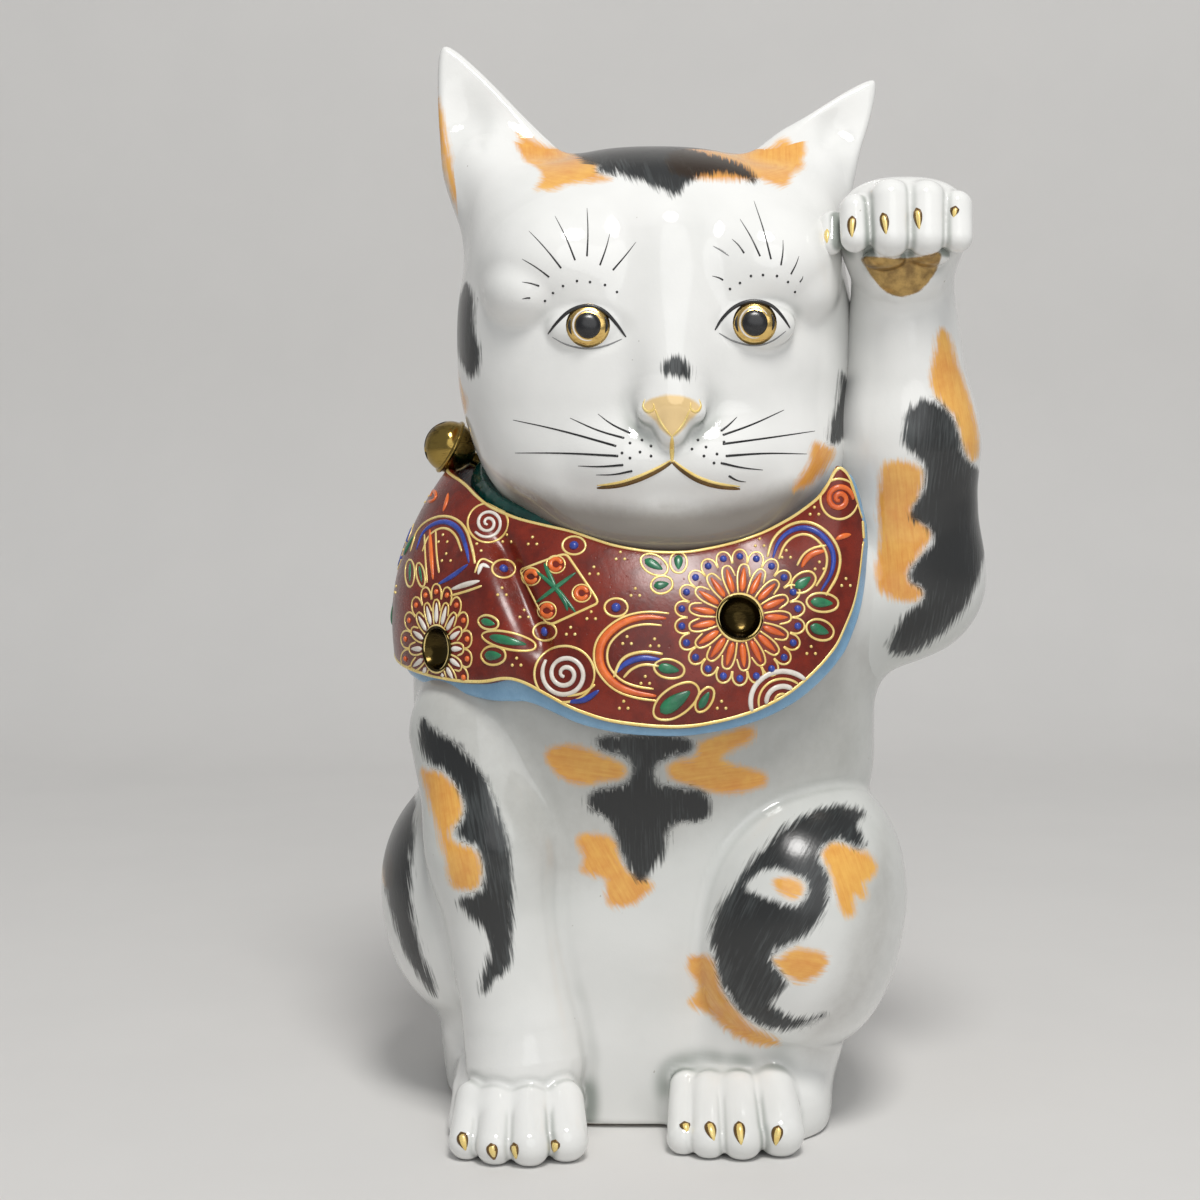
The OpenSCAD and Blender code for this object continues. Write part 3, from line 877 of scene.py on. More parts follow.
class Kiln:
    """A finish in the making: its node tree and the surface shader that it feeds."""

    def __init__(self, name: str) -> None:
        """Starts a material with an empty surface shader."""
        self.material = bpy.data.materials.new(name)
        self.material.use_nodes = True
        self.tree = self.material.node_tree
        self.shader = self.tree.nodes["Principled BSDF"]

    def node(self, kind: str, settings: dict | None = None, sockets: dict | None = None,
             out: int | str = 0) -> Wire:
        """Any node.

        Args:
            kind: The node's type.
            settings: Its own settings, set first.
            sockets: Values or wires by socket.
            out: The output that is used.

        Returns:
            The wire from that output.
        """
        made = self.tree.nodes.new(kind)
        for name, value in (settings or {}).items():
            setattr(made, name, value)
        for key, value in (sockets or {}).items():
            self.feed(made.inputs[key], value)
        return Wire(self, made.outputs[out])

    def feed(self, socket: bpy.types.NodeSocket, value: "Wire | float | Sequence[float]") -> None:
        """Links a wire to a socket, or sets its value."""
        if isinstance(value, Wire):
            self.tree.links.new(value.socket, socket)
        elif socket.type == "RGBA" and len(value) == 3:
            socket.default_value = (*value, 1)
        else:
            socket.default_value = value

    def layer(self, name: str, out: str = "Fac") -> Wire:
        """A value or vector that the mesh carries at its points."""
        return self.node("ShaderNodeAttribute", {"attribute_name": name}, {}, out)

    def place(self) -> Wire:
        """The point's own place in metres."""
        return self.node("ShaderNodeTexCoord", {}, {}, "Object")

    def stretched(self, vector: Wire, by: Point) -> Wire:
        """A vector scaled along each axis."""
        return self.node("ShaderNodeVectorMath", {"operation": "MULTIPLY"}, {0: vector, 1: by})

    def noise(self, vector: Wire, scale: float, detail: float = 3.0, rough: float = 0.55) -> Wire:
        """Cloudy noise from 0 to 1 around 0.5."""
        return self.node("ShaderNodeTexNoise", {}, {"Vector": vector, "Scale": scale, "Detail": detail,
                                                    "Roughness": rough}, "Fac")

    def mixed(self, share: "Wire | float", under: "Wire | Colour", over: "Wire | Colour") -> Wire:
        """One colour laid over another by a share."""
        return self.node("ShaderNodeMix", {"data_type": "RGBA"}, {0: share, 6: under, 7: over}, 2)

    def bumped(self, height: Wire, depth: float, strength: float = 1.0) -> Wire:
        """Normals of a relief of that depth in metres."""
        return self.node("ShaderNodeBump", {}, {"Height": height, "Distance": depth, "Strength": strength})

    def fire(self, sockets: dict) -> bpy.types.Material:
        """Feeds the surface shader and hands the finish over."""
        for name, value in sockets.items():
            self.feed(self.shader.inputs[name], value)
        return self.material


@dataclass(frozen=True)
class PorcelainGlaze:
    """Clear glaze over white porcelain, brushed with charcoal and orange and touched with gold; shade is
    painted into its colour.
    """

    name: str = "porcelain_glaze"
    white: Colour = (0.83, 0.83, 0.81)
    # Grey-green of glaze pooled in folds, used mostly as painted shade in creases and in a band low on the
    # body.
    pooled_glaze_and_shade: Colour = (0.25, 0.28, 0.25)
    charcoal: Colour = (0.005, 0.006, 0.007)
    thin_ink: Colour = (0.040, 0.046, 0.047)
    # Brownish grey for painted shade, the painted reflection of the bib under the jaw, and the chin smudge.
    shade_and_smudge_colour: Colour = (0.20, 0.175, 0.145)
    orange: Colour = (0.72, 0.265, 0.016)
    pale_orange: Colour = (0.87, 0.47, 0.075)
    gilding: Colour = (0.56, 0.36, 0.12)
    rubbed: Colour = (0.25, 0.15, 0.05)
    buff: Colour = (0.86, 0.60, 0.25)
    hair_width: float = 0.75
    hair_length: float = 12.0

    def mix(self) -> bpy.types.Material:
        """The finish as a material."""
        kiln = Kiln(self.name)
        place = kiln.place()
        hair = (1 / self.hair_width, 1 / self.hair_length, 1.0)
        hairs = kiln.noise(kiln.stretched(kiln.layer("brush", "Vector"), hair), 1.0, 3.0, 0.6)
        wash = kiln.noise(place, 260.0, 4.0, 0.62)
        cloud = kiln.noise(place, 34.0, 3.0)
        fine = kiln.noise(place, 900.0, 2.0)
        ink = (kiln.layer("ink") + (hairs - 0.5) * 7.0 + (wash - 0.5) * 1.2).ramp(-1.1, 1.5)
        body = (hairs + (cloud - 0.5) * 0.8 - kiln.layer("ink") * 0.02).ramp(0.40, 0.72)
        rust = (kiln.layer("rust") + (wash - 0.5) * 2.5 + (hairs - 0.5) * 4.0).ramp(-1.2, 1.8)
        gilt = (kiln.layer("gilt") + (wash - 0.5) * 1.2).ramp(-0.3, 0.5)
        buff = (kiln.layer("buff") + (wash - 0.5) * 1.2).ramp(-0.6, 0.8)
        height = kiln.node("ShaderNodeSeparateXYZ", {}, {0: place}, 2)
        # Painted shade: the glaze greys in a band up the body, darkest from about 120 to 140 mm up.
        run = height.ramp(0.03, 0.12, 0.04, 0.36) * height.ramp(0.14, 0.21, 1.0, 0.0)
        # Painted shade, painted reflection and the chin smudge, from their patches.
        shade_and_smudge = (kiln.layer("shade_and_smudge") + (wash - 0.5) * 1.5).ramp(-3.0, 5.5, 0.0, 0.85)
        # Painted shade in folds and creases, from the hollow measure, with a little real glaze pooling.
        pool = kiln.layer("hollow").ramp(0.10, 0.80, 0.0, 0.85)
        speck = kiln.noise(place, 420.0, 1.0).ramp(0.80, 0.83, 0.0, 0.5)
        # The ground: white greyed by the painted band shade and random cloud, then by painted crease shade,
        # then by the painted shade, reflection and smudge patches.
        ground = kiln.mixed(run + cloud.ramp(0.35, 0.75, 0.0, 0.10), self.white, self.pooled_glaze_and_shade)
        ground = kiln.mixed(pool, ground, self.pooled_glaze_and_shade)
        ground = kiln.mixed(shade_and_smudge, ground, self.shade_and_smudge_colour)
        ground = kiln.mixed(speck, ground, (0.30, 0.27, 0.22))
        streaks = (hairs * 0.3 + wash * 0.25 + cloud * 0.45).ramp(0.34, 0.66)
        orange = kiln.mixed(streaks, self.orange, self.pale_orange)
        black = kiln.mixed(body, self.charcoal, self.thin_ink)
        colour = kiln.mixed(rust * 0.93, ground, orange)
        colour = kiln.mixed(ink * 0.97, colour, black)
        colour = kiln.mixed(buff * 0.9, colour, self.buff)
        gilding = kiln.mixed((wash * 0.5 + cloud * 0.5).ramp(0.40, 0.62), self.gilding, self.rubbed)
        colour = kiln.mixed(gilt, colour, gilding)
        relief = kiln.bumped(cloud * 0.6 + fine * 0.08 + ink * 0.16 * hairs, 0.0006, 0.5)
        return kiln.fire({
            "Base Color": colour, "Roughness": 0.05 + cloud * 0.06 + ink * 0.14 + gilt * 0.2,
            "Metallic": gilt * 0.6 + buff * 0.12, "Coat Weight": 0.15 - ink * 0.13, "Coat Roughness": 0.05,
            "IOR": 1.5, "Normal": relief,
        })


@dataclass(frozen=True)
class Enamel:
    """A raised or brushed enamel: one colour with the drift, pits and gloss of a fired paint."""

    name: str
    colour: Colour
    deep: Colour
    gloss: float = 0.22
    grain: float = 300.0
    relief: float = 0.0003
    metal: float = 0.0
    shine: float = 0.5

    def mix(self) -> bpy.types.Material:
        """The finish as a material."""
        kiln = Kiln(self.name)
        place = kiln.place()
        drift = kiln.noise(place, self.grain * 0.2, 3.0)
        grain = kiln.noise(place, self.grain, 4.0, 0.6)
        pits = kiln.noise(place, self.grain * 2.5, 1.0).ramp(0.68, 0.8)
        colour = kiln.mixed((drift * 0.6 + grain * 0.5).ramp(0.38, 0.72), self.colour, self.deep)
        colour = kiln.mixed(pits * 0.35, colour, self.deep)
        relief = kiln.bumped(drift * 0.7 + grain * 0.4 - pits * 0.3, self.relief, 0.6)
        return kiln.fire({
            "Base Color": colour, "Roughness": self.gloss + grain * 0.16 + pits * 0.2, "Metallic": self.metal,
            "Coat Weight": 0.18 if self.metal == 0 else 0.0, "Coat Roughness": 0.2, "Normal": relief,
            "Specular IOR Level": self.shine,
        })


@dataclass(frozen=True)
class Lustre:
    """Bright gold lustre, rubbed thin in places; on the bells and dishes the dark tone is a painted dark
    reflection.
    """

    name: str
    gold: Colour = (0.83, 0.57, 0.20)
    # Rubbed gold; on the bells and dishes this darker tone is a painted dark reflection.
    worn_and_dark_reflection: Colour = (0.46, 0.27, 0.07)
    gloss: float = 0.13

    def mix(self) -> bpy.types.Material:
        """The finish as a material."""
        kiln = Kiln(self.name)
        place = kiln.place()
        drift = kiln.noise(place, 90.0, 4.0)
        rub = kiln.noise(kiln.stretched(place, (1.0, 1.0, 4.0)), 500.0, 3.0, 0.65)
        # Patches where the gold is rubbed thin; on the bells and dishes, patches of painted dark reflection.
        thin = (drift * 0.7 + rub * 0.5).ramp(0.55, 0.85)
        colour = kiln.mixed(thin, self.gold, self.worn_and_dark_reflection)
        relief = kiln.bumped(drift + rub * 0.3, 0.0002, 0.4)
        return kiln.fire({
            "Base Color": colour, "Roughness": self.gloss + thin * 0.2 + rub * 0.08, "Metallic": 1.0,
            "Normal": relief,
        })


@dataclass(frozen=True)
class BareClay:
    """Unglazed, fired clay with grog and a darker scorch."""

    name: str
    clay: Colour = (0.52, 0.41, 0.30)
    scorch: Colour = (0.24, 0.15, 0.09)

    def mix(self) -> bpy.types.Material:
        """The finish as a material."""
        kiln = Kiln(self.name)
        place = kiln.place()
        drift = kiln.noise(place, 60.0, 4.0)
        grog = kiln.noise(place, 1400.0, 3.0, 0.7)
        colour = kiln.mixed((drift * 0.6 + grog * 0.5).ramp(0.4, 0.75), self.clay, self.scorch)
        relief = kiln.bumped(grog + drift * 0.4, 0.0004, 0.8)
        return kiln.fire({"Base Color": colour, "Roughness": 0.7 + grog * 0.25, "Normal": relief})


class Finishes:
    """Every finish of the figure, made once."""

    def __init__(self) -> None:
        """Mixes the finishes."""
        self.porcelain = PorcelainGlaze().mix()
        self.clay = BareClay("bare_foot_clay").mix()
        self.pellet = BareClay("pellet_clay", (0.42, 0.30, 0.18), (0.22, 0.14, 0.08)).mix()
        bib = Enamel("bib_red", (0.21, 0.021, 0.009), (0.105, 0.010, 0.005), 0.2, 260.0, 0.0004, shine=0.36)
        self.bib = bib.mix()
        self.lining = Enamel("lining_blue", (0.27, 0.48, 0.68), (0.18, 0.36, 0.55), 0.20, 200.0).mix()
        self.collar = Enamel("collar_green", (0.008, 0.12, 0.095), (0.004, 0.06, 0.05), 0.14, 220.0).mix()
        # The dishes' gold is painted almost black: painted shade and dark reflection in the recesses.
        self.dish = Lustre("dish_gold_shade", (0.055, 0.038, 0.012), (0.02, 0.013, 0.005), 0.12).mix()
        # The bells' gold is painted darker as a painted dark reflection.
        self.bell = Lustre("bell_gold_dark_reflection", (0.38, 0.26, 0.07), (0.07, 0.042, 0.012), 0.08).mix()
        self.trails = {"lustre": Lustre("gold_lustre").mix()}
        for name, colour, deep, metal in (
            ("gold", (0.95, 0.77, 0.32), (0.86, 0.61, 0.18), 0.25),
            ("orange", (0.86, 0.19, 0.035), (0.62, 0.10, 0.02), 0.0),
            ("white", (0.84, 0.80, 0.74), (0.66, 0.60, 0.52), 0.0),
            ("blue", (0.045, 0.085, 0.46), (0.02, 0.04, 0.25), 0.0),
            ("green", (0.03, 0.23, 0.10), (0.015, 0.12, 0.06), 0.0),
            ("ink", (0.007, 0.007, 0.008), (0.016, 0.016, 0.017), 0.0),
            ("grey", (0.14, 0.145, 0.15), (0.26, 0.26, 0.26), 0.0),
            # Umber, a dark gold, is laid as painted shade under the mouth lines and round the claws.
            ("umber_shade", (0.22, 0.12, 0.03), (0.10, 0.055, 0.015), 0.3),
        ):
            self.trails[name] = Enamel(f"trail_{name}", colour, deep, 0.2, 420.0, 0.00007, metal).mix()


def glaze(casting: Casting, name: str, node: str, voxel: float, patches: Sequence[Patch],
          finishes: Finishes) -> Shell:
    """Makes one piece of a casting with its painted skin.

    Args:
        casting: The casting.
        name: The piece's name in it.
        node: The solid that it replaces.
        voxel: Spacing of the skin's points.
        patches: What is painted on it.
        finishes: The figure's finishes.

    Returns:
        The piece's skin.
    """
    shell = skin(CastPiece(casting, name), voxel)
    layers = paint(shell, patches)
    # The hollow measure feeds the painted shade in folds.
    layers["hollow"] = casting.hollow(shell.points, shell.normals)
    set_down(f"glazed_{name}", shell.mesh(name, layers), finishes.porcelain, Slot.PORCELAIN, [node])
    return shell


# Trailed lines, beads and pools


@dataclass
class Canvas:
    """A skin that can be drawn on through the photograph's pixels."""

    search: BVHTree
    least_up: float = -2.0

    def spots(self, pixels: Cloud) -> Pair:
        """Points and normals under pixels; what misses the skin is left out.

        Args:
            pixels: Rows of u, v.

        Returns:
            Rows of points and rows of normals.
        """
        start = Vector(EYE.at)
        found, normals = [], []
        for ray in EYE.rays(np.asarray(pixels, float)):
            place, normal, _, _ = self.search.ray_cast(start, Vector(ray))
            if place is not None and normal.z > self.least_up:
                found.append(place)
                normals.append(normal if normal.dot(Vector(ray)) < 0 else -normal)
        return np.array(found, float).reshape(-1, 3), np.array(normals, float).reshape(-1, 3)


@dataclass
class Trail:
    """Lines, beads and pools of one colour, gathered into one piece of closed lumps."""

    lumps: list[Shell] = field(default_factory=list)

    def line(self, places: Cloud, normals: Cloud, radii: Cloud, flat: float = 0.6, sides: int = 8) -> None:
        """A line that lies half sunk in the skin.

        Args:
            places: Points along the line.
            normals: The skin's normals there.
            radii: Half widths there.
            flat: Height of the line as a share of its half width.
            sides: Sides of its section.
        """
        way = unit(np.gradient(places, axis=0))
        aside = unit(np.cross(way, normals))
        turn = np.arange(sides)[:, None] * math.tau / sides
        section = np.cos(turn) * aside[:, None] + flat * np.sin(turn) * normals[:, None]
        ends = places[[0, -1]] + 0.5 * radii[[0, -1], None] * way[[0, -1]] * np.array([[-1], [1]])
        self.lumps.append(lump(places[:, None] + radii[:, None, None] * section, *ends))

    def bead(self, place: Cloud, normal: Cloud, radius: float, flat: float = 0.75) -> None:
        """A round bead half sunk in the skin.

        Args:
            place: Its middle.
            normal: The skin's normal there.
            radius: Its radius.
            flat: Its height as a share of that radius.
        """
        aside = unit(np.cross(normal, (0.3, 0.2, 0.9)))
        turn = np.arange(10)[:, None] * math.tau / 10
        circle = np.cos(turn) * aside + np.sin(turn) * np.cross(normal, aside)
        tilt = np.radians((60, 25, -10, -45))[:, None, None]
        rise = radius * flat * normal
        rings = place + radius * np.cos(tilt) * circle + np.sin(tilt) * rise
        self.lumps.append(lump(rings, place + rise, place - rise))

    def pool(self, middle: Pair, hoops: Sequence[Pair], lift: float) -> None:
        """A filled pool with a rounded brim.

        Args:
            middle: Point and normal of its middle.
            hoops: Points and normals of rings of equal count, from the middle outwards.
            lift: How far it stands above the skin.
        """
        sink = 0.4
        brims = [lift * math.sqrt(max(0.08, 1 - (i / len(hoops)) ** 4)) for i in range(1, len(hoops) + 1)]
        top = [points + brim * normals for brim, (points, normals) in zip(brims, hoops)]
        low = [points - sink * normals for points, normals in hoops[::-1]]
        place, normal = middle
        self.lumps.append(lump(np.array(top + low), place + lift * normal, place - sink * normal))

    def build(self, name: str, finish: bpy.types.Material, slot: Slot) -> None:
        """Puts the gathered lumps on the figure as one piece."""
        points, faces, start = [], [], 0
        for part in self.lumps:
            faces.extend([start + corner for corner in face] for face in part.faces)
            points.append(part.points)
            start += len(part.points)
        set_down(name, Shell(np.vstack(points), faces).mesh(name), finish, slot)


class Taper(Enum):
    """How a stroke's width runs from start to end."""

    EVEN = "even"
    BOTH = "both"
    START = "start"
    DROP = "drop"

    def along(self, count: int) -> Cloud:
        """Shares of the full width along a stroke."""
        share = np.linspace(0, 1, count)
        if self is Taper.BOTH:
            return 0.25 + 0.75 * np.sin(math.pi * share) ** 0.6
        if self is Taper.START:
            return 0.22 + 0.78 * share**0.7
        if self is Taper.DROP:
            return 0.2 + 0.8 * np.sin(math.pi * share**0.7) ** 0.8
        return np.minimum(1, 0.75 + 3 * np.minimum(share, 1 - share))


@dataclass
class Brush:
    """Draws in a sketch's places on a canvas, keeping one trail for each colour."""

    canvas: "Canvas | BibCanvas"
    sketch: Sketch = PHOTO
    trails: dict[str, Trail] = field(default_factory=dict)
    step: float = 2.4

    def trail(self, colour: str) -> Trail:
        """The trail of one colour."""
        return self.trails.setdefault(colour, Trail())

    def stroke(self, colour: str, places: Outline, width: float, taper: Taper = Taper.EVEN,
               flat: float = 0.6, sides: int = 8) -> None:
        """One stroke along places.

        Args:
            colour: The trail's colour.
            places: The sketch's places.
            width: Half width in millimetres.
            taper: How the width runs.
            flat: Height as a share of the half width.
            sides: Sides of its section.
        """
        line = spaced(rounded(self.sketch.px(places), False), self.step)
        if len(line) < 5:
            line = spaced(line, np.linalg.norm(line[-1] - line[0]) / 5)
        spots, normals = self.canvas.spots(line)
        if len(spots) > 2:
            self.trail(colour).line(spots, normals, width * taper.along(len(spots)), flat, sides)

    def loop(self, colour: str, places: Outline, width: float) -> None:
        """One closed stroke round places."""
        line = rounded(places)
        self.stroke(colour, np.vstack([line, line[:2]]), width)

    def beads(self, colour: str, places: Outline, radius: float, flat: float = 0.75) -> None:
        """Beads at places."""
        for place, normal in zip(*self.canvas.spots(self.sketch.px(places))):
            self.trail(colour).bead(place, normal, radius, flat)

    def disc(self, colour: str, middle: Point, radius: float, lift: float) -> None:
        """A filled disc round a place."""
        rings, sides = 4, 28
        hoops = []
        for i in range(rings):
            reach = radius * (i + 1) / rings
            hoop = arc(middle, (reach, reach), 0, 360 - 360 / sides, sides)
            hoops.append(self.canvas.spots(self.sketch.px(hoop)))
        places, normals = self.canvas.spots(self.sketch.px([middle]))
        self.trail(colour).pool((places[0], normals[0]), hoops, lift)

    def build(self, prefix: str, finishes: Finishes, slot: Slot) -> None:
        """Puts every trail on the figure."""
        for colour, trail in self.trails.items():
            gilded = colour in ("gold", "umber_shade", "lustre")
            trail.build(f"{prefix}_{colour}", finishes.trails[colour], Slot.GOLD if gilded else slot)


# The head


@dataclass(frozen=True)
class Head:
    """Skull, brows, muzzle and both ears, with the painted face."""

    skull_at: Point = (4.6, -6, 259.3)
    skull_radii: Point = (66.3, 55, 65.4)
    skull_power: float = 2.45
    face_x: float = 8.8
    voxel: float = 0.95
    ear_voxel: float = 0.9

    def skull(self) -> Form:
        """The head without its ears."""
        x = self.face_x
        steps = [
            Step(Egg((-20.8, -19, 224.5), (28.5, 34, 25)), 10),
            Step(Egg((36, -20.5, 221), (30.5, 35.5, 27)), 12),
            Step(Egg((8, -25, 212), (42, 34, 26), 2.4), 10),
            Step(Egg((x - 1, -36, 205), (22, 21, 13)), 10),
            Step(Egg((x - 12.5, -51, 223), (17, 15, 13)), 9),
            Step(Egg((x + 12.5, -51, 223), (17, 15, 13)), 9),
            Step(Limb((x - 0.8, -45, 292), 13, (x, -59.5, 247), 9.3), 8.5),
            Step(Limb((-50, -9, 316), 10, (-34, -33, 291), 17), 14),
            Step(Limb((56, -9, 315), 9, (46, -33, 291), 15), 14),
            Step(Egg((-25, -40, 284), (23, 21.5, 19)), 7),
            Step(Egg((39, -40, 284), (22, 21.5, 19)), 7),
            Step(Egg((-36, -41, 275.8), (15.5, 18.5, 13.5)), 2),
            Step(Egg((50, -37.5, 276.8), (13.2, 17.5, 13.5)), 2),
        ]
        for eye_x, eye_z in ((-17.8, 264.3), (34.9, 265.3)):
            steps.append(Step(Egg((eye_x, -67, eye_z), (14.5, 9.0, 9)), 3, Join.CARVE))
            steps.append(Step(Egg((eye_x, -54.6, eye_z), (13.2, 7.6, 8.6)), 1.6))
        steps.extend([
            Step(Egg((x, -63.5, 239.5), (9.5, 6.5, 6.5)), 6),
            Step(Egg((x - 6.8, -65.6, 237.6), (3.4, 3.4, 2.7)), 2.2),
            Step(Egg((x + 6.8, -65.6, 237.6), (3.4, 3.4, 2.7)), 2.2),
            Step(Egg((x, -65.5, 232.5), (4.2, 3.6, 5.0)), 3.5),
            Step(Limb((x, -73, 228), 1.0, (x, -69, 218), 1.2), 2.5, Join.CARVE),
        ])
        return Sculpt(Egg(self.skull_at, self.skull_radii, self.skull_power), steps)

    def ears(self) -> tuple[Form, Form]:
        """The long ear on the left and the shorter one on the right."""
        left = ((-13.5, -6), (-15.6, 6), (-13.6, 23), (-8.6, 39), (-2.2, 55), (1.8, 54), (8.4, 41),
                (14.6, 26), (18.2, 16.6), (20.5, 8), (17, -14), (-12, -18))
        right = ((-16, -6), (-14.6, 4), (-11.9, 12.3), (-7, 30.3), (-1.4, 43), (1.4, 42.2), (7, 30.5),
                 (12.2, 17), (16.4, 5.5), (15, -14), (-14, -18))
        left_ear = Blade((-46, -3, 308), (-0.362, 0.06, 0.93), (0.932, 0, 0.362), left, 10.5, 2.6)
        right_ear = Blade((53.6, -3, 312.7), (0.578, 0.06, 0.814), (-0.816, 0, 0.578), right, 10.5, 2.6)
        left_cup = Step(Egg((-57, -16.5, 334), (7, 9, 17), 2.0, -20), 7, Join.CARVE)
        right_cup = Step(Egg((66.5, -16.5, 333), (6, 9, 13), 2.0, 34), 7, Join.CARVE)
        return Sculpt(left_ear, [left_cup]), Sculpt(right_ear, [right_cup])

    def casting(self) -> Casting:
        """The head with its ears luted on."""
        left, right = self.ears()
        head = Member(self.skull(), 0)
        return Casting({"head": head, "left_ear": Member(left, 13), "right_ear": Member(right, 13)})

    def patches(self) -> list[Patch]:
        """The painted patches of crown, cheeks and nose, and painted shade with a painted bib reflection
        under the jaw.
        """
        ink, rust = Pigment.INK, Pigment.RUST
        crown = ((430, 380), (480, 365), (560, 344), (690, 340), (770, 366), (850, 384), (910, 404),
                 (948, 440), (940, 458), (890, 440), (840, 428), (790, 440), (752, 456), (720, 498),
                 (690, 482), (650, 466), (600, 450), (560, 432), (490, 430), (500, 400))
        left_crown = ((262, 300), (300, 320), (345, 350), (440, 372), (505, 395), (495, 430), (552, 446),
                      (500, 458), (430, 455), (370, 482), (308, 476), (345, 442), (325, 410), (284, 395),
                      (288, 362))
        right_crown = ((700, 345), (780, 352), (860, 366), (930, 370), (985, 353), (1012, 328), (1042, 334),
                       (1030, 376), (1082, 390), (1076, 420), (1040, 432), (1030, 472), (990, 466),
                       (950, 446), (930, 410), (880, 380))
        left_side = ((130, 720), (108, 780), (96, 850), (102, 930), (125, 992), (146, 1012), (166, 976),
                     (173, 930), (158, 880), (155, 820), (150, 770))
        right_cheek = ((1180, 975), (1200, 1010), (1215, 1080), (1208, 1150), (1172, 1192), (1138, 1186),
                       (1145, 1130), (1165, 1090), (1174, 1030))
        cheek_orange = ((1100, 1180), (1135, 1188), (1168, 1200), (1152, 1242), (1116, 1282), (1080, 1312),
                        (1038, 1322), (1050, 1290), (1085, 1250), (1094, 1212))
        # Painted shade and painted reflection of the bib along the underside of the jaw.
        jaw_shade_and_reflection = ((494, 464), (528, 480), (575, 492), (625, 499), (672, 501), (735, 496), (804, 470),
               (824, 496), (790, 534), (740, 560), (672, 570), (585, 560), (535, 548), (500, 520))
        nose_spot = ((672, 992), (684, 956), (710, 936), (747, 950), (764, 988), (756, 1012), (715, 1002))
        nose = ((622, 1074), (650, 1058), (690, 1048), (742, 1052), (784, 1074), (788, 1096), (756, 1122),
                (736, 1152), (705, 1172), (678, 1152), (654, 1118), (628, 1102))
        left_cheek = ((100, 960), (112, 1010), (132, 1060), (130, 1112), (116, 1100), (92, 1040))
        lip = ((655, 1355), (700, 1348), (750, 1355), (745, 1380), (700, 1386), (660, 1380))
        top = ((-24, -34), (2, -44), (10, -26), (32, -16), (42, 4), (30, 22), (4, 30), (-20, 16))
        top_left = ((-42, -22), (-22, -34), (-18, 8), (-30, 26), (-46, 12))
        top_right = ((6, -46), (34, -42), (56, -24), (54, 14), (38, 20), (44, 2), (30, -14), (10, -22))
        sketch = HEAD_SKETCH
        return [
            Patch(ink, crown, sketch, 74, True),
            Patch(rust, left_crown, sketch, 20, True),
            Patch(rust, right_crown, sketch, 160, True),
            Patch(ink, left_side, sketch, 88, True),
            Patch(rust, left_cheek, sketch, 90, True),
            Patch(ink, right_cheek, sketch, 95, True, behind=12),
            Patch(rust, cheek_orange, sketch, 120),
            Patch(ink, nose_spot, sketch, 88),
            Patch(Pigment.SMOKE, lip, sketch),
            # Painted shade and bib reflection under the jaw.
            Patch(Pigment.SMOKE, jaw_shade_and_reflection, bias=-1.5),
            Patch(Pigment.BUFF, nose, sketch),
            Patch(ink, top, facing=Facing.TOP),
            Patch(rust, top_left, facing=Facing.TOP),
            Patch(rust, top_right, facing=Facing.TOP),
            Patch(ink, splash((4, 292), (34, 32), 5, 0.8), facing=Facing.BACK),
            Patch(rust, splash((44, 274), (16, 24), 4, 2.2), facing=Facing.BACK),
            Patch(rust, splash((-34, 254), (15, 18), 4, 0.5), facing=Facing.BACK),
        ]

    def ear_patches(self) -> list[Patch]:
        """The brown backs of the ears, and what of the crown's paint reaches them."""
        left_edge = ((436, 88), (446, 112), (452, 150), (461, 188), (475, 224), (466, 232), (452, 205),
                     (440, 165), (430, 120))
        left_back = ((-78, 346), (-62, 352), (-44, 330), (-36, 306), (-58, 296), (-74, 312))
        right_back = ((50, 312), (66, 300), (84, 330), (82, 350), (66, 336))
        return [
            Patch(Pigment.RUST, left_edge, wrap=True, bias=-0.6),
            Patch(Pigment.RUST, left_back, facing=Facing.BACK),
            Patch(Pigment.RUST, right_back, facing=Facing.BACK),
            *self.patches()[1:3],
        ]

    def build(self, finishes: Finishes) -> Shell:
        """Makes head and ears, and gives the head's skin to draw the face on."""
        casting = self.casting()
        head = glaze(casting, "head", "head_shell", self.voxel, self.patches(), finishes)
        for ear in ("left_ear", "right_ear"):
            glaze(casting, ear, ear, self.ear_voxel, self.ear_patches(), finishes)
        return head


